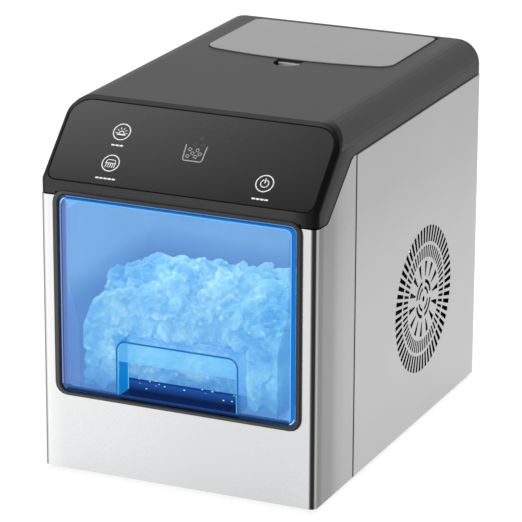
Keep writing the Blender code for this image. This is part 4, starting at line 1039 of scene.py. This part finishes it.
def keep_inside(x, y, z):
    """Moves a point of the ice back inside the basket and clear of the finger pocket."""
    side = between(BASKET_SIDES, z)
    x, y, z = max(-side, min(side, x)), max(ICE_FRONT, min(BASKET_BACK, y)), max(BASKET_FLOOR, z)
    if abs(x) < POCKET_ROOM_HALF and z < POCKET_ROOM_TOP and y < POCKET_ROOM_BACK:
        y = POCKET_ROOM_BACK
    return x, y, z


def scatter(chance):
    """Places and sizes for the nuggets, on the heap's front and over its top, clear of the finger pocket."""
    spots = []
    for _ in range(NUGGET_TRIES):
        x, y = chance.uniform(-0.0870, 0.0870), chance.uniform(0.0095, 0.148)
        size = chance.choice(NUGGET_SIZES)
        if chance.random() < 0.6:
            y = chance.uniform(0.0085, 0.0130)
            z = chance.uniform(0.0740, heap_height(x, y))
        else:
            z = heap_height(x, y) - size * chance.uniform(0.3, 0.9)
        if abs(x) < POCKET_ROOM_HALF + size / 2 and z < POCKET_ROOM_TOP + size / 2:
            y = max(y, 0.0270 + size / 3)
        spot = Vector((x, y, z))
        if all((spot - other).length >= 0.50 * (size + reach) for other, reach in spots):
            spots.append((spot, size))
    return spots


def fused(points, faces):
    """One closed skin round all the lumps, by a voxel remesh."""
    mesh = bpy.data.meshes.new("ice_rough")
    mesh.from_pydata(points, [], faces)
    lumps = bpy.data.objects.new("ice_rough", mesh)
    bpy.context.scene.collection.objects.link(lumps)
    remesh = lumps.modifiers.new("fused", "REMESH")
    remesh.mode = "VOXEL"
    remesh.voxel_size = ICE_VOXEL
    done = bpy.data.meshes.new_from_object(lumps.evaluated_get(bpy.context.evaluated_depsgraph_get()))
    bpy.data.objects.remove(lumps)
    bm = bmesh.new()
    bm.from_mesh(done)
    return bm


def ice_heap():
    """Nuggets melted together: scattered lumps on a core, fused, softened and pressed against the basket."""
    chance = random.Random(21)
    points, faces, ball = [], [], unit_ball()
    heap_core(points, faces)
    for spot, size in scatter(chance):
        add_lump(points, faces, nugget(ball, at(*spot), size, chance))
    bm = fused(points, faces)
    bmesh.ops.smooth_vert(bm, verts=bm.verts, factor=0.5, use_axis_x=True, use_axis_y=True, use_axis_z=True)
    ridge = bm.verts.layers.float.new("ridge")
    for vert in bm.verts:
        vert.co += vert.normal * (0.0009 * noise.noise(vert.co * 170) + 0.0003 * noise.noise(vert.co * 520))
    bm.normal_update()
    for vert in bm.verts:
        around = sum((edge.other_vert(vert).co for edge in vert.link_edges), Vector()) / len(vert.link_edges)
        vert[ridge] = 0.5 + (vert.co - around).dot(vert.normal) / ICE_VOXEL
    for vert in bm.verts:
        vert.co = at(*keep_inside(vert.co.x, vert.co.y - FRONT, vert.co.z - FOOT))
    piece("ice_heap", bm, "ice", "drawer", smooth=True)


# ---------------------------------------------------------------- stage


# Grey levels of the studio from the horizon up, as (height, level).
SKY_STOPS = [(0.0, 1.0), (0.36, 0.78), (0.75, 0.26)]


def area_light(name, location, target, width, height, power, colour=(1, 1, 1)):
    data = bpy.data.lights.new(name, "AREA")
    data.shape = "RECTANGLE"
    data.size, data.size_y = width, height
    data.energy = power
    data.color = colour
    light = bpy.data.objects.new(name, data)
    bpy.context.scene.collection.objects.link(light)
    light.location = location
    light.rotation_euler = (Vector(target) - light.location).to_track_quat("-Z", "Y").to_euler()
    return light


def make_floor():
    """A wide, pale, self-lit floor."""
    bm = bmesh.new()
    bmesh.ops.create_grid(bm, x_segments=1, y_segments=1, size=6)
    mesh = bpy.data.meshes.new("floor")
    bm.to_mesh(mesh)
    bm.free()
    floor = bpy.data.objects.new("floor", mesh)
    bpy.context.scene.collection.objects.link(floor)
    look = dict(tint=0.003, grain=40, bump=0.0, specular=0.0, glow=(1, 1, 1), glow_strength=0.78)
    mesh.materials.append(surface("floor", (0.34, 0.34, 0.34), 0.9, **look))


def make_sky():
    """A white studio that greys towards the top."""
    world = bpy.data.worlds.new("studio")
    world.use_nodes = True
    nodes, links = world.node_tree.nodes, world.node_tree.links
    coords = nodes.new("ShaderNodeTexCoord")
    parts = nodes.new("ShaderNodeSeparateXYZ")
    links.new(coords.outputs["Generated"], parts.inputs["Vector"])
    sky = nodes.new("ShaderNodeValToRGB")
    elements = sky.color_ramp.elements
    elements.new(0.5)
    for element, (height, level) in zip(elements, SKY_STOPS):
        element.position = height
        element.color = (level, level, level, 1)
    links.new(parts.outputs["Z"], sky.inputs["Fac"])
    links.new(sky.outputs["Color"], nodes["Background"].inputs["Color"])
    nodes["Background"].inputs["Strength"].default_value = 1.0
    bpy.context.scene.world = world


def make_lights():
    """Two soft lamps that show in no reflection, and the drawer bay's blue light."""
    for name, location, side, power in (
        ("overhead", (0.2, 0.5, 2.1), 2.2, 42),
        ("front_left", (-1.7, -1.9, 1.5), 1.5, 20),
    ):
        light = area_light(name, location, (0, 0, 0.1), side, side, power)
        light.visible_glossy = False
    blue = (0.25, 0.55, 1.0)
    bay_light = area_light("bay_led", at(0, 0.030, 0.2240), at(0, 0.09, 0.10), 0.15, 0.012, 0.06, blue)
    bay_light.visible_camera = False
    bpy.context.scene.view_settings.view_transform = "Standard"


def make_camera():
    """A long lens from the front right, looking down: azimuth 24.16, elevation 18.12 and roll 0.2 degrees."""
    az, el, roll = (math.radians(a) for a in (24.16, 18.12, 0.20))
    forward = Vector((-math.sin(az) * math.cos(el), math.cos(az) * math.cos(el), -math.sin(el)))
    level = Vector((math.cos(az), math.sin(az), 0))
    upright = level.cross(forward)
    right = math.cos(roll) * level + math.sin(roll) * upright
    up = -math.sin(roll) * level + math.cos(roll) * upright
    data = bpy.data.cameras.new("camera")
    data.lens = 221.9
    data.sensor_width = 36
    data.clip_end = 50
    camera = bpy.data.objects.new("camera", data)
    bpy.context.scene.collection.objects.link(camera)
    turn = Matrix((right, up, -forward)).transposed()
    camera.matrix_world = Matrix.Translation(at(1.0404, -2.1569, 0.9739)) @ turn.to_4x4()
    bpy.context.scene.camera = camera


make_camera()
finish_nodes()
panel_marks()
window_edges()
pocket_lines()
pocket_walls()
pocket_floor()
pocket_drops()
notch_shade_liner()
ice_heap()
make_floor()
make_sky()
make_lights()
